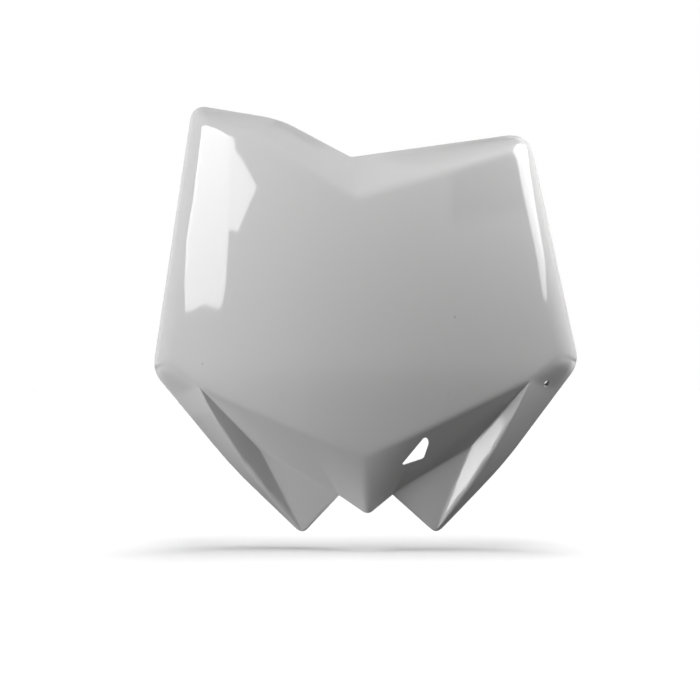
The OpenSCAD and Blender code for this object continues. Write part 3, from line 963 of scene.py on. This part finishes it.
@dataclass
class RearTongue:
    """The tongue with the upper fixing hole, and the two webs under it."""

    shell: BoardShell
    width: float = 0.052
    thickness: float = 0.0032
    bolt_r: float = 0.0033
    land: float = 0.006
    edge: float = 0.0006
    fillet: float = 0.0014
    web_height: float = 0.026
    web_thickness: float = 0.002
    web_gap: float = 0.034
    web_reach: float = 0.8
    web_edge: float = 0.0005
    web_steps: int = 12
    arc_steps: int = 60
    outline_steps: int = 240
    flat_steps: int = 26
    edge_steps: int = 5

    def root(self, x: Points | float, z: Points | float) -> Points:
        """Depth of the middle of the wall behind the face, in the part's frame."""
        place = self.shell.chin_place
        return self.shell.depth(x, z - place[2], self.shell.wall / 2) + place[1]

    def build(self) -> list[bpy.types.Object]:
        """Makes the tongue and both webs."""
        return [self.tongue()] + [self.web(side) for side in Side]

    def tongue(self) -> bpy.types.Object:
        """The tongue, a ring surface round the hole with rounded edges.

        Each section runs from the hole's point H to the outline's point P along the top and
        back along the bottom. The half thickness grows by fillet e^(-d / fillet) at distance
        d from the wall.

        Returns:
            The piece.
        """
        end_r, x = self.bolt_r + self.land, np.linspace(1, -1, self.arc_steps) * self.width / 2
        root = np.stack([x, self.root(x, 0.0)], axis=1)
        turn = np.linspace(np.pi, 0, self.arc_steps)
        tip = end_r * np.stack([np.cos(turn), np.sin(turn)], axis=1)
        outline = resample(np.concatenate([root, tip, root[:1]]), self.outline_steps)[:-1]
        hole = unit(outline) * self.bolt_r
        way = unit(outline - hole)
        bend = np.linspace(0, np.pi / 2, self.edge_steps)
        inset, drop = self.edge * (1 - np.sin(bend)), self.edge * (1 - np.cos(bend))
        from_hole = hole[None] + way[None] * inset[::-1, None, None]
        to_edge = outline[None] - way[None] * inset[:, None, None]
        across = np.linspace(0, 1, self.flat_steps)[1:-1, None, None]
        between = mix(from_hole[-1], to_edge[0], across)
        plan = np.concatenate([from_hole, between, to_edge])
        lost = np.concatenate([drop[::-1], np.zeros(len(between)), drop])[:, None]
        far = np.clip(plan[..., 1] - self.root(plan[..., 0], 0.0) - self.shell.wall / 2, 0, None)
        half = self.thickness / 2 - lost + self.fillet * np.exp(-far / self.fillet)
        top = np.concatenate([plan, half[..., None]], axis=-1)
        under = np.concatenate([plan, -half[..., None]], axis=-1)[::-1]
        grid = np.concatenate([top, under, top[:1]])
        grid = np.concatenate([grid, grid[:, :1]], axis=1)
        skin = weld([grid], np.empty((0, 3)))
        piece = make_object("fixing_tongue", skin.vertices, skin.quads)
        turn_outwards(piece)
        return piece

    def web(self, side: Side) -> bpy.types.Object:
        """A three-cornered web that hangs under the tongue, with rounded edges.

        Args:
            side: which of the two webs.

        Returns:
            The piece.
        """
        x = side * self.web_gap / 2
        top, low = -self.thickness / 4, -self.thickness / 4 - self.web_height
        z = np.linspace(low, top, self.web_steps)
        root = self.root(x, z)
        back = np.array([[root[-1] * (1 - self.web_reach), top]])
        plan = np.concatenate([np.stack([root, z], axis=1), back])
        name = f"web_{side.name.lower()}"
        return upright_plate(name, x, plan, self.web_thickness, self.web_edge)


def upright_plate(
    name: str, x: float, plan: Points, thickness: float, edge: float
) -> bpy.types.Object:
    """Makes a plate that stands across X at x, from a plan in y and z, with rounded edges."""
    outline = np.concatenate([np.full((len(plan), 1), x - thickness / 2), plan], axis=1)
    return finish_prism(prism(name, outline, np.array([thickness, 0, 0])), edge)


def finish_prism(piece: bpy.types.Object, width: float, segments: int = 3) -> bpy.types.Object:
    """Rounds a prism's edges and makes it a piece of the board.

    Args:
        piece: the prism.
        width: width of each rounded edge.
        segments: number of faces across it.

    Returns:
        The same piece.
    """
    bevel = piece.modifiers.new("edges", "BEVEL")
    bevel.width = width
    bevel.segments = segments
    bevel.limit_method = "ANGLE"
    apply_modifiers(piece)
    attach(piece, "root")
    return piece


@dataclass
class LocatingPeg:
    """A locating peg on a boss with three fins."""

    side: Side
    tongue: RearTongue
    peg_r: float = 0.004
    peg_length: float = 0.012
    lead: float = 0.0015
    boss_r: float = 0.007
    x: float = 0.044
    z: float = -0.106
    boss_y: float = -0.010
    fin_reach: float = 0.007
    fin_thickness: float = 0.002
    fin_grip: float = 0.9
    edge: float = 0.0005
    fillet: float = 0.0012
    edge_steps: int = 5
    shaft_steps: int = 24
    turn_steps: int = 64
    fin_steps: int = 9
    sharp_degrees: float = 40.0

    def build(self) -> list[bpy.types.Object]:
        """Makes the boss with its peg, and the fins."""
        return [self.boss()] + self.fins()

    def boss(self) -> bpy.types.Object:
        """Boss and peg as one surface of revolution: centre + r(t) (cos a, 0, sin a) + y(t).

        The boss's foot widens by fillet e^(-d / fillet) at distance d from the wall.

        Returns:
            The piece.
        """
        wall = self.tongue.shell.wall
        foot = float(self.tongue.root(self.x, self.z))
        skin = foot + wall / 2
        y = skin + np.linspace(0, 1, self.shaft_steps) ** 2 * (self.boss_y - self.edge - skin)
        y = np.concatenate([[foot], y])
        flare = self.fillet * np.exp(-np.clip(y - skin, 0, None) / self.fillet)
        shaft = np.stack([self.boss_r + flare, y], axis=1)
        a = np.linspace(0, np.pi / 2, self.edge_steps)[:, None]
        end_y = self.boss_y + self.peg_length
        lead_r = self.peg_r - self.lead / 2

        def round_edge(r: float, y_top: float) -> Points:
            """Quarter circle of radius edge that ends a cylinder of radius r at y_top."""
            turn = np.concatenate([np.cos(a) - 1, np.sin(a) - 1], axis=1)
            return np.array([r, y_top]) + self.edge * turn

        corner = np.array([
            [self.peg_r + self.edge, self.boss_y], [self.peg_r, self.boss_y + self.edge],
        ])
        profile = np.concatenate([
            [[0, foot]], shaft, round_edge(self.boss_r, self.boss_y), corner, [[self.peg_r, end_y]],
            round_edge(lead_r, end_y + self.lead), [[0, end_y + self.lead]],
        ])
        turn = np.linspace(0, 2 * np.pi, self.turn_steps + 1)
        r = profile[None, :, 0]
        y = np.broadcast_to(profile[None, :, 1], (len(turn), len(profile)))
        x = self.side * self.x + r * np.cos(turn)[:, None]
        grid = np.stack([x, y, self.z + r * np.sin(turn)[:, None]], axis=2)
        grid[-1] = grid[0]
        skin_mesh = weld([grid], np.empty((0, 3)))
        piece = make_object(f"peg_{self.side.name.lower()}", skin_mesh.vertices, skin_mesh.quads)
        turn_outwards(piece)
        smooth(piece, self.sharp_degrees)
        return piece

    def fins(self) -> list[bpy.types.Object]:
        """Three tapered fins: one to each side of the boss and one above it.

        Returns:
            The pieces.
        """
        tag, half = self.side.name.lower(), self.fin_thickness / 2
        reach, grip = self.boss_r + self.fin_reach, self.boss_r * self.fin_grip
        top, centre = self.boss_y - self.tongue.shell.wall, self.side * self.x
        made = []
        for name, way in (("inner", -float(self.side)), ("outer", float(self.side))):
            far = centre + way * reach
            x = np.linspace(centre, far, self.fin_steps)
            root = np.stack([x, self.tongue.root(x, self.z)], axis=1)
            free = [[far, root[-1, 1] + half], [centre + way * grip, top], [centre, top]]
            plan = np.concatenate([root, free])
            outline = np.concatenate([plan, np.full((len(plan), 1), self.z - half)], axis=1)
            fin = prism(f"fin_{tag}_{name}", outline, np.array([0, 0, self.fin_thickness]))
            made.append(finish_prism(fin, self.edge))
        z = self.z + np.linspace(0, reach, self.fin_steps)
        root = np.stack([self.tongue.root(centre, z), z], axis=1)
        free = [[root[-1, 0] + half, z[-1]], [top, self.z + grip], [top, self.z]]
        plan = np.concatenate([root, free])
        return made + [upright_plate(f"fin_{tag}_top", centre, plan, self.fin_thickness, self.edge)]


@dataclass(frozen=True)
class PhotoCamera:
    """The photograph's camera: level, a little to the right, rolled slightly clockwise.

    It looks along forward = (sin yaw, cos yaw, 0) at aim from the given distance, and its right
    and up axes are turned about forward by roll. Angles are in degrees, lengths in metres.
    """

    yaw: float = -2.0
    roll: float = -1.038
    distance: float = 0.700
    aim: tuple[float, float, float] = (-0.00756, -0.034, -0.07864)
    sensor_mm: float = 36.0
    focal_ratio: float = 1 / 0.61

    def build(self) -> None:
        """Adds the camera and makes it the scene's own."""
        yaw, roll = np.radians(self.yaw), np.radians(self.roll)
        forward = np.array([np.sin(yaw), np.cos(yaw), 0.0])
        right = np.array([np.cos(yaw), -np.sin(yaw), 0.0])
        up = np.cross(right, forward)
        turned_right = np.cos(roll) * right + np.sin(roll) * up
        turned_up = -np.sin(roll) * right + np.cos(roll) * up
        data = bpy.data.cameras.new("photo_camera")
        data.sensor_width = self.sensor_mm
        data.lens = self.sensor_mm * self.focal_ratio
        camera = bpy.data.objects.new("photo_camera", data)
        axes = Matrix(np.stack([turned_right, turned_up, -forward], axis=1).tolist()).to_4x4()
        place = Vector((np.array(self.aim) - forward * self.distance).tolist())
        camera.matrix_world = Matrix.Translation(place) @ axes
        bpy.context.scene.collection.objects.link(camera)
        bpy.context.scene.camera = camera


def new_group(name: str, inputs: dict[str, float], outputs: Sequence[str]) -> bpy.types.NodeTree:
    """Makes an empty shader group whose sockets are all numbers.

    Args:
        name: name of the group.
        inputs: default value of each input.
        outputs: names of the outputs.

    Returns:
        The group, with its input and output nodes.
    """
    group = bpy.data.node_groups.new(name, "ShaderNodeTree")
    number = "NodeSocketFloat"
    for socket, value in inputs.items():
        given = group.interface.new_socket(socket, in_out="INPUT", socket_type=number)
        given.default_value = value
    for socket in outputs:
        group.interface.new_socket(socket, in_out="OUTPUT", socket_type=number)
    group.nodes.new("NodeGroupInput")
    group.nodes.new("NodeGroupOutput")
    return group


class Nodes:
    """Short hands for adding linked nodes to one tree."""

    def __init__(self, tree: bpy.types.NodeTree) -> None:
        """Keeps the tree that nodes are added to."""
        self.tree = tree

    def put(self, socket: bpy.types.NodeSocket, value: object) -> None:
        """Links an output to a socket, or sets the socket to a plain value.

        Args:
            socket: the input.
            value: the output or the plain value.
        """
        if isinstance(value, bpy.types.NodeSocket):
            self.tree.links.new(value, socket)
        else:
            socket.default_value = value

    def add(self, kind: str, inputs: dict[str | int, object], **settings: object) -> bpy.types.Node:
        """Adds a node.

        Args:
            kind: the node's type.
            inputs: an output or a plain value for each input, by its name or number.
            settings: the node's own settings, by name.

        Returns:
            The node.
        """
        node = self.tree.nodes.new(kind)
        for name, value in settings.items():
            setattr(node, name, value)
        for name, value in inputs.items():
            self.put(node.inputs[name], value)
        return node

    def math(self, operation: str, a: object, b: object = 0.0, clamp: bool = False) -> Socket:
        """Returns the result of a Math node."""
        node = self.add("ShaderNodeMath", {0: a, 1: b}, operation=operation, use_clamp=clamp)
        return node.outputs[0]

    def noise(self, place: object, scale: float, detail: float, rough: float = 0.5) -> Socket:
        """Returns a noise value around a half at the given scale, per metre."""
        sockets = {"Vector": place, "Scale": scale, "Detail": detail, "Roughness": rough}
        return self.add("ShaderNodeTexNoise", sockets).outputs["Fac"]


def moulding_group() -> bpy.types.NodeTree:
    """Moulded surface: flow waves, fine grain, faint clouding and hairline scratches.

    Scales are noise cells per metre, and hair_shape stretches the scratches along one way.
    Height = wave noise * Wave + grain noise * Grain; Roughness = Gloss + clouding * Cloud +
    scratches; Tone is a factor near one for the colour.

    Returns:
        The group.
    """
    group = new_group(
        "moulded_surface",
        {"Gloss": 0.2, "Cloud": 0.04, "Wave": 1.0, "Grain": 1.0, "Scratches": 0.03, "Tint": 0.02},
        ("Tone", "Roughness", "Height"),
    )
    n = Nodes(group)
    given, out = group.nodes["Group Input"].outputs, group.nodes["Group Output"].inputs
    wave_scale, grain_scale, cloud_scale, hair_scale = 38.0, 2600.0, 17.0, 900.0
    hair_turn, hair_shape = (0.3, 0.7, 0.5), (1.0, 1.0, 0.03)
    hair_from, hair_gain = 0.70, 6.0
    place = n.add("ShaderNodeTexCoord", {}).outputs["Object"]
    wave = n.math("SUBTRACT", n.noise(place, wave_scale, 1.0), 0.5)
    grain = n.math("SUBTRACT", n.noise(place, grain_scale, 2.0), 0.5)
    cloud = n.math("SUBTRACT", n.noise(place, cloud_scale, 3.0, 0.6), 0.5)
    long_way = {"Vector": place, "Rotation": hair_turn, "Scale": hair_shape}
    turned = n.add("ShaderNodeMapping", long_way)
    hair = n.noise(turned.outputs[0], hair_scale, 4.0, 0.7)
    scratch = n.math("MULTIPLY", n.math("SUBTRACT", hair, hair_from, True), hair_gain, True)
    waves, grains = n.math("MULTIPLY", wave, given["Wave"]), n.math("MULTIPLY", grain, given["Grain"])
    height = n.math("ADD", waves, grains)
    rough = n.math("ADD", given["Gloss"], n.math("MULTIPLY", cloud, given["Cloud"]))
    rough = n.math("ADD", rough, n.math("MULTIPLY", scratch, given["Scratches"]), True)
    tone = n.math("ADD", 1.0, n.math("MULTIPLY", cloud, given["Tint"]))
    for name, value in (("Tone", tone), ("Roughness", rough), ("Height", height)):
        n.put(out[name], value)
    return group


@dataclass(frozen=True)
class MouldedPlastic:
    """A finish of moulded polypropylene.

    Wave and grain are bump heights in metres. Specks are places with a dust speck's radius; a
    speck is speck_tone as light inside speck_core of its radius.
    """

    name: str
    grey: float
    gloss: float
    cloud: float
    wave: float
    grain: float
    scratches: float
    tint: float
    specular: float = 0.5
    ior: float = 1.49
    specks: tuple[tuple[float, float, float, float], ...] = ()
    speck_core: float = 0.4
    speck_tone: float = 0.72

    def build(self, surface: bpy.types.NodeTree) -> bpy.types.Material:
        """Makes the material around the shared surface group.

        Args:
            surface: the group.

        Returns:
            The material.
        """
        material = bpy.data.materials.new(self.name)
        material.use_nodes = True
        tree = material.node_tree
        shader = tree.nodes["Principled BSDF"]
        n = Nodes(tree)
        group = n.add("ShaderNodeGroup", {}, node_tree=surface)
        for name in ("gloss", "cloud", "wave", "grain", "scratches", "tint"):
            group.inputs[name.title()].default_value = getattr(self, name)
        tone = n.math("MULTIPLY", group.outputs["Tone"], self.speck_mask(n))
        grey = n.math("MULTIPLY", tone, self.grey)
        base = n.add("ShaderNodeCombineColor", {channel: grey for channel in range(3)})
        n.put(shader.inputs["Base Color"], base.outputs[0])
        n.put(shader.inputs["Roughness"], group.outputs["Roughness"])
        relief = {"Height": group.outputs["Height"], "Strength": 1.0, "Distance": 1.0}
        bump = n.add("ShaderNodeBump", relief)
        n.put(shader.inputs["Normal"], bump.outputs[0])
        shader.inputs["Specular IOR Level"].default_value = self.specular
        shader.inputs["IOR"].default_value = self.ior
        return material

    def speck_mask(self, n: Nodes) -> object:
        """Draws the dust specks.

        Args:
            n: adds nodes to the material's tree.

        Returns:
            A factor for the colour: one, and less inside each speck.
        """
        factor: object = 1.0
        place = n.add("ShaderNodeTexCoord", {}).outputs["Object"]
        for x, y, z, radius in self.specks:
            away = n.add("ShaderNodeVectorMath", {0: place, 1: (x, y, z)}, operation="DISTANCE")
            fade = n.add("ShaderNodeMapRange", {
                "Value": away.outputs["Value"], "From Min": radius * self.speck_core,
                "From Max": radius, "To Min": self.speck_tone, "To Max": 1.0,
            })
            factor = n.math("MULTIPLY", factor, fade.outputs[0])
        return factor


def toward(azimuth: Points, elevation: Points) -> Points:
    """Direction (sin a cos e, -cos a cos e, sin e); azimuth 0 is in front, + to the viewer's right."""
    a, e = np.radians(azimuth), np.radians(elevation)
    return np.stack([np.sin(a) * np.cos(e), -np.cos(a) * np.cos(e), np.sin(e)], axis=-1)


def glow(
    name: str,
    operation: str,
    other: tuple[float, float, float],
    reach: tuple[float, float],
    strength: tuple[float, float],
) -> bpy.types.Material:
    """Makes a light whose strength changes with a measure of the place in the frame.

    Args:
        name: name of the material.
        operation: operation of the vector node that measures the place.
        other: the node's other vector.
        reach: measures between which the strength changes.
        strength: strength at either end.

    Returns:
        The material.
    """
    material = bpy.data.materials.new(name)
    material.use_nodes = True
    tree = material.node_tree
    n = Nodes(tree)
    place = n.add("ShaderNodeTexCoord", {}).outputs["Object"]
    measure = n.add("ShaderNodeVectorMath", {0: other, 1: place}, operation=operation)
    ramp = {
        "Value": measure.outputs["Value"], "From Min": reach[0], "From Max": reach[1],
        "To Min": strength[0], "To Max": strength[1],
    }
    graded = n.add("ShaderNodeMapRange", ramp, interpolation_type="SMOOTHSTEP").outputs[0]
    light = n.add("ShaderNodeEmission", {"Strength": graded})
    n.put(tree.nodes["Material Output"].inputs["Surface"], light.outputs[0])
    tree.nodes.remove(tree.nodes["Principled BSDF"])
    return material


def add_panel(name: str, points: Points, faces: Sequence, finish: bpy.types.Material) -> None:
    """Adds a panel of the studio that only the gloss shows, and that gives and stops no light.

    Args:
        name: name of the panel.
        points: its corners.
        faces: its faces, as numbers of corners.
        finish: its glow.
    """
    mesh = bpy.data.meshes.new(name)
    mesh.from_pydata(points.tolist(), [], faces)
    mesh.materials.append(finish)
    panel = bpy.data.objects.new(name, mesh)
    panel.visible_camera = panel.visible_diffuse = panel.visible_shadow = False
    panel.visible_transmission = panel.visible_volume_scatter = False
    bpy.context.scene.collection.objects.link(panel)


@dataclass(frozen=True)
class Lamp:
    """A square area lamp that faces the board's middle.

    Its place is an azimuth and an elevation in degrees and a distance in metres, and its power
    is in watts.
    """

    name: str
    azimuth: float
    elevation: float
    size: float
    power: float
    distance: float = 1.3

    def build(self, centre: Points, lights_up: bpy.types.Collection) -> None:
        """Adds the lamp, which no gloss shows.

        Args:
            centre: the board's middle.
            lights_up: what alone is lit by it and shades it.
        """
        data = bpy.data.lights.new(self.name, "AREA")
        data.size = self.size
        data.energy = self.power
        light = bpy.data.objects.new(self.name, data)
        way = toward(np.array(self.azimuth), np.array(self.elevation))
        place = Vector((centre + way * self.distance).tolist())
        turn = (Vector(centre.tolist()) - place).to_track_quat("-Z", "Y")
        light.matrix_world = Matrix.Translation(place) @ turn.to_matrix().to_4x4()
        light.visible_glossy = False
        light.visible_camera = False
        light.light_linking.receiver_collection = lights_up
        light.light_linking.blocker_collection = lights_up
        bpy.context.scene.collection.objects.link(light)


@dataclass(frozen=True)
class Overhead:
    """A far lamp above the floor, which alone lights it and so makes the board's soft shadow.

    Softness is its width and lean its tilt to the right, both in degrees.
    """

    irradiance: float = 2.7
    softness: float = 30.0
    lean: float = 5.0

    def build(self, lights_up: bpy.types.Collection) -> None:
        """Adds the lamp, leaning to the right so that the shadow falls a little to the left.

        Args:
            lights_up: what alone is lit by it.
        """
        data = bpy.data.lights.new("overhead", "SUN")
        data.energy = self.irradiance
        data.angle = float(np.radians(self.softness))
        light = bpy.data.objects.new("overhead", data)
        light.rotation_euler = (0.0, float(np.radians(self.lean)), 0.0)
        light.visible_glossy = False
        light.visible_camera = False
        light.light_linking.receiver_collection = lights_up
        bpy.context.scene.collection.objects.link(light)


@dataclass(frozen=True)
class GlossPanel:
    """A softbox, a white card or a dark shade that shows only in the board's gloss.

    Its corners are azimuths and elevations in degrees, as seen from the place on the board that
    mirrors it. Its glow runs from low at its lowest corner to high at its highest.
    """

    name: str
    seen_from: tuple[float, float, float]
    corners: tuple[tuple[float, float], ...]
    low: float
    high: float
    distance: float = 1.2

    def build(self) -> None:
        """Adds the panel as a fan: seen_from + distance * direction of each corner."""
        angles = np.array(self.corners)
        angles = np.concatenate([angles.mean(axis=0)[None], angles])
        points = np.array(self.seen_from) + self.distance * toward(angles[:, 0], angles[:, 1])
        rim = np.arange(1, len(points))
        faces = np.stack([np.zeros_like(rim), rim, np.roll(rim, -1)], axis=1)
        reach = (float(points[:, 2].min()), float(points[:, 2].max()))
        finish = glow(self.name, "DOT_PRODUCT", (0.0, 0.0, 1.0), reach, (self.low, self.high))
        add_panel(self.name, points, faces.tolist(), finish)


@dataclass
class Studio:
    """The pale floor, the white surroundings, the lamps and the panels that the gloss shows.

    floor_white is the floor's colour where light falls on it, floor_glow its own light, and
    floor_bounce its colour for light that comes back to the board.
    """

    centre: tuple[float, float, float] = (0.0, -0.01, -0.05)
    floor_z: float = -0.2027
    floor_slope: float = -0.0181
    floor_bow: float = 0.23
    floor_bow_reach: float = 0.5
    floor_columns: int = 401
    floor_reach: float = 4.0
    floor_white: float = 0.8
    floor_bounce: float = 0.02
    floor_glow: float = 0.35
    flag_z: float = -0.195
    flag_fade: tuple[float, float] = (0.5, 3.5)
    ambient: float = 0.01
    lamps: tuple[Lamp, ...] = (
        Lamp("left", -70, 10, 0.45, 7.8),
        Lamp("low_left", -60, -15, 0.45, 4.5),
        Lamp("low_right", 90, -15, 0.45, 3.2),
        Lamp("near_left", -30, 30, 0.20, 0.56, distance=0.45),
        Lamp("near_right", 85, 30, 0.20, 1.18, distance=0.45),
        Lamp("near_top", 30, 55, 0.15, 0.33, distance=0.36),
        Lamp("rear_left", -165, 30, 0.60, 4.0),
        Lamp("rear_right", 165, 30, 0.60, 4.0),
    )
    overhead: Overhead = Overhead()
    panels: tuple[GlossPanel, ...] = (
        GlossPanel(
            "tall_softbox", (-0.09, -0.02, 0.0),
            ((-57.8, 36.5), (-43.5, 36.5), (-40.8, 19.0), (-40.8, 9.4), (-41.6, 4.9), (-42.5, 1.8),
             (-44.3, 0.4), (-49.7, 0.9), (-54.6, 0.2), (-56.4, 0.0), (-58.4, 2.3), (-63.4, 5.1),
             (-69.0, 7.8), (-75.2, 10.3), (-72.3, 14.3), (-73.5, 18.5), (-71.0, 31.0)),
            low=8.0, high=11.5,
        ),
        GlossPanel(
            "pointed_softbox", (-0.09, -0.02, 0.0),
            ((-43.5, 31.7), (-40.0, 19.0), (-36.1, 17.5), (-31.0, 14.5), (-33.2, 12.8), (-37.5, 9.3),
             (-40.8, 9.5), (-40.8, 19.0)),
            low=8.0, high=9.0,
        ),
        GlossPanel(
            "right_softbox", (0.11, -0.01, 0.0),
            ((85.0, 57.6), (113.9, 57.1), (133.3, 38.1), (136.5, 29.8), (113.8, 18.7), (103.9, 15.7),
             (96.7, 11.9), (91.0, 9.8), (77.4, 6.6), (64.5, 2.6), (56.5, 1.3), (62.0, 8.0),
             (61.0, 12.0), (59.0, 15.7), (61.0, 18.7), (65.0, 45.0)),
            low=6.8, high=11.0,
        ),
        GlossPanel(
            "right_card", (0.12, 0.0, -0.098), ((70, -2), (140, -2), (140, -33), (70, -31)),
            low=0.0, high=1.6, distance=0.14,
        ),
        GlossPanel(
            "left_card", (-0.12, 0.0, -0.098), ((-140, -2), (-70, -2), (-70, -31), (-140, -33)),
            low=0.4, high=1.0, distance=0.14,
        ),
        GlossPanel(
            "rib_shade", (-0.08, -0.03, -0.14), ((32, 16), (62, 16), (62, 40), (32, 40)),
            low=0.0, high=0.0,
        ),
        GlossPanel(
            "bevel_shade", (0.085, -0.008, 0.05),
            ((100, 60), (140, 38), (180, 35), (220, 38), (260, 60), (300, 80), (60, 80)),
            low=0.0, high=0.0, distance=0.25,
        ),
    )

    def build(self, pieces: Iterable[bpy.types.Object]) -> None:
        """Makes the floor, world, lamps and panels.

        Args:
            pieces: the board's pieces.
        """
        board = self.group_of("lit_board", pieces)
        ground = self.group_of("lit_floor", [self.floor()])
        self.world()
        centre = np.array(self.centre)
        for lamp in self.lamps:
            lamp.build(centre, board)
        self.overhead.build(ground)
        for panel in self.panels:
            panel.build()
        self.flag()

    def flag(self) -> None:
        """Adds a cloth above the floor, black below the board and white far off, for the gloss."""
        square = np.array([[-1, -1], [1, -1], [1, 1], [-1, 1]]) * self.floor_reach
        corners = np.concatenate([square, np.full((4, 1), self.flag_z)], axis=1)
        black = glow("flag_black", "DISTANCE", (0.0, 0.0, self.flag_z), self.flag_fade, (0.0, 1.0))
        add_panel("dark_flag", corners, [(0, 1, 2, 3)], black)

    def group_of(self, name: str, members: Iterable[bpy.types.Object]) -> bpy.types.Collection:
        """Gathers objects for a lamp to light.

        Args:
            name: name of the collection.
            members: the objects.

        Returns:
            The collection.
        """
        group = bpy.data.collections.new(name)
        for member in members:
            group.objects.link(member)
        return group

    def shown_rays(self, n: Nodes) -> Socket:
        """Tells the rays that show a surface from those that carry its light.

        Args:
            n: adds nodes to the tree.

        Returns:
            One for camera, glossy and transmission rays, and zero for the rest.
        """
        path = n.add("ShaderNodeLightPath", {}).outputs
        seen = n.math("MAXIMUM", path["Is Camera Ray"], path["Is Glossy Ray"])
        return n.math("MAXIMUM", seen, path["Is Transmission Ray"])

    def world(self) -> None:
        """White where the camera and the gloss see it, and a plain low light on the board."""
        world = bpy.data.worlds.new("studio")
        world.use_nodes = True
        n = Nodes(world.node_tree)
        background = world.node_tree.nodes["Background"]
        background.inputs["Color"].default_value = (1, 1, 1, 1)
        strength = n.math("MAXIMUM", self.shown_rays(n), self.ambient)
        n.put(background.inputs["Strength"], strength)
        bpy.context.scene.world = world

    def floor(self) -> bpy.types.Object:
        """A pale floor that shows white, keeps the board's shadow and gives little light back.

        It falls a little to the right and to both sides, so that the shadow of the curved board
        is a level strip in the rolled picture: z = floor_z + floor_slope x - floor_bow x^2 /
        (1 + (x / floor_bow_reach)^2).

        Returns:
            The floor.
        """
        mesh = bpy.data.meshes.new("studio_floor")
        reach = self.floor_reach
        x = np.linspace(-reach, reach, self.floor_columns)
        sag = self.floor_bow * x**2 / (1 + (x / self.floor_bow_reach) ** 2)
        height = self.floor_z + self.floor_slope * x - sag
        near = np.stack([x, np.full_like(x, -reach), height], axis=1)
        i = np.arange(len(x) - 1)
        strips = np.stack([i, i + 1, i + 1 + len(x), i + len(x)], axis=1)
        corners = np.concatenate([near, near + [0, 2 * reach, 0]])
        mesh.from_pydata(corners.tolist(), [], strips.tolist())
        mesh.shade_smooth()
        floor = bpy.data.objects.new("studio_floor", mesh)
        bpy.context.scene.collection.objects.link(floor)
        material = bpy.data.materials.new("floor_white")
        material.use_nodes = True
        tree = material.node_tree
        n = Nodes(tree)
        white, dark = (self.floor_white,) * 3 + (1,), (self.floor_bounce,) * 3 + (1,)
        own_light = n.math("MULTIPLY", self.shown_rays(n), self.floor_glow)
        matt = n.add("ShaderNodeBsdfDiffuse", {"Color": white}).outputs[0]
        light = n.add("ShaderNodeEmission", {"Strength": own_light}).outputs[0]
        shown = n.add("ShaderNodeAddShader", {0: matt, 1: light}).outputs[0]
        dim = n.add("ShaderNodeBsdfDiffuse", {"Color": dark}).outputs[0]
        bounce = n.add("ShaderNodeLightPath", {}).outputs["Is Diffuse Ray"]
        both = n.add("ShaderNodeMixShader", {0: bounce, 1: shown, 2: dim})
        n.put(tree.nodes["Material Output"].inputs["Surface"], both.outputs[0])
        tree.nodes.remove(tree.nodes["Principled BSDF"])
        floor.data.materials.append(material)
        return floor


FACE_GLOSS = MouldedPlastic(
    "face_gloss", grey=0.60, gloss=0.05, cloud=0.03, wave=0.00001, grain=0.0000003,
    scratches=0.05, tint=0.02,
    specks=((0.0569, -0.0280, -0.0595, 0.0011), (-0.1012, -0.0155, -0.0855, 0.0009)),
)
BACK_SATIN = MouldedPlastic(
    "back_satin", grey=0.56, gloss=0.42, cloud=0.08, wave=0.00003, grain=0.000006,
    scratches=0.0, tint=0.03,
)


def main() -> None:
    logging.basicConfig(level=logging.INFO, format="%(name)s: %(message)s")
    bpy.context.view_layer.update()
    surface = moulding_group()
    gloss, satin = FACE_GLOSS.build(surface), BACK_SATIN.build(surface)
    network = BoardShell()
    shell = network.build(gloss, satin)
    Openings().cut_from(shell, network)
    tongue = RearTongue(network)
    fixings = tongue.build()
    for side in Side:
        fixings += LocatingPeg(side, tongue).build()
    for piece in fixings:
        piece.data.materials.append(satin)
    for piece in [shell, *fixings]:
        LOG.info("%s: %d faces", piece.name, len(piece.data.polygons))
    Studio().build([shell, *fixings])
    PhotoCamera().build()
    bpy.context.scene.view_settings.view_transform = "Standard"


if __name__ == "__main__":
    main()
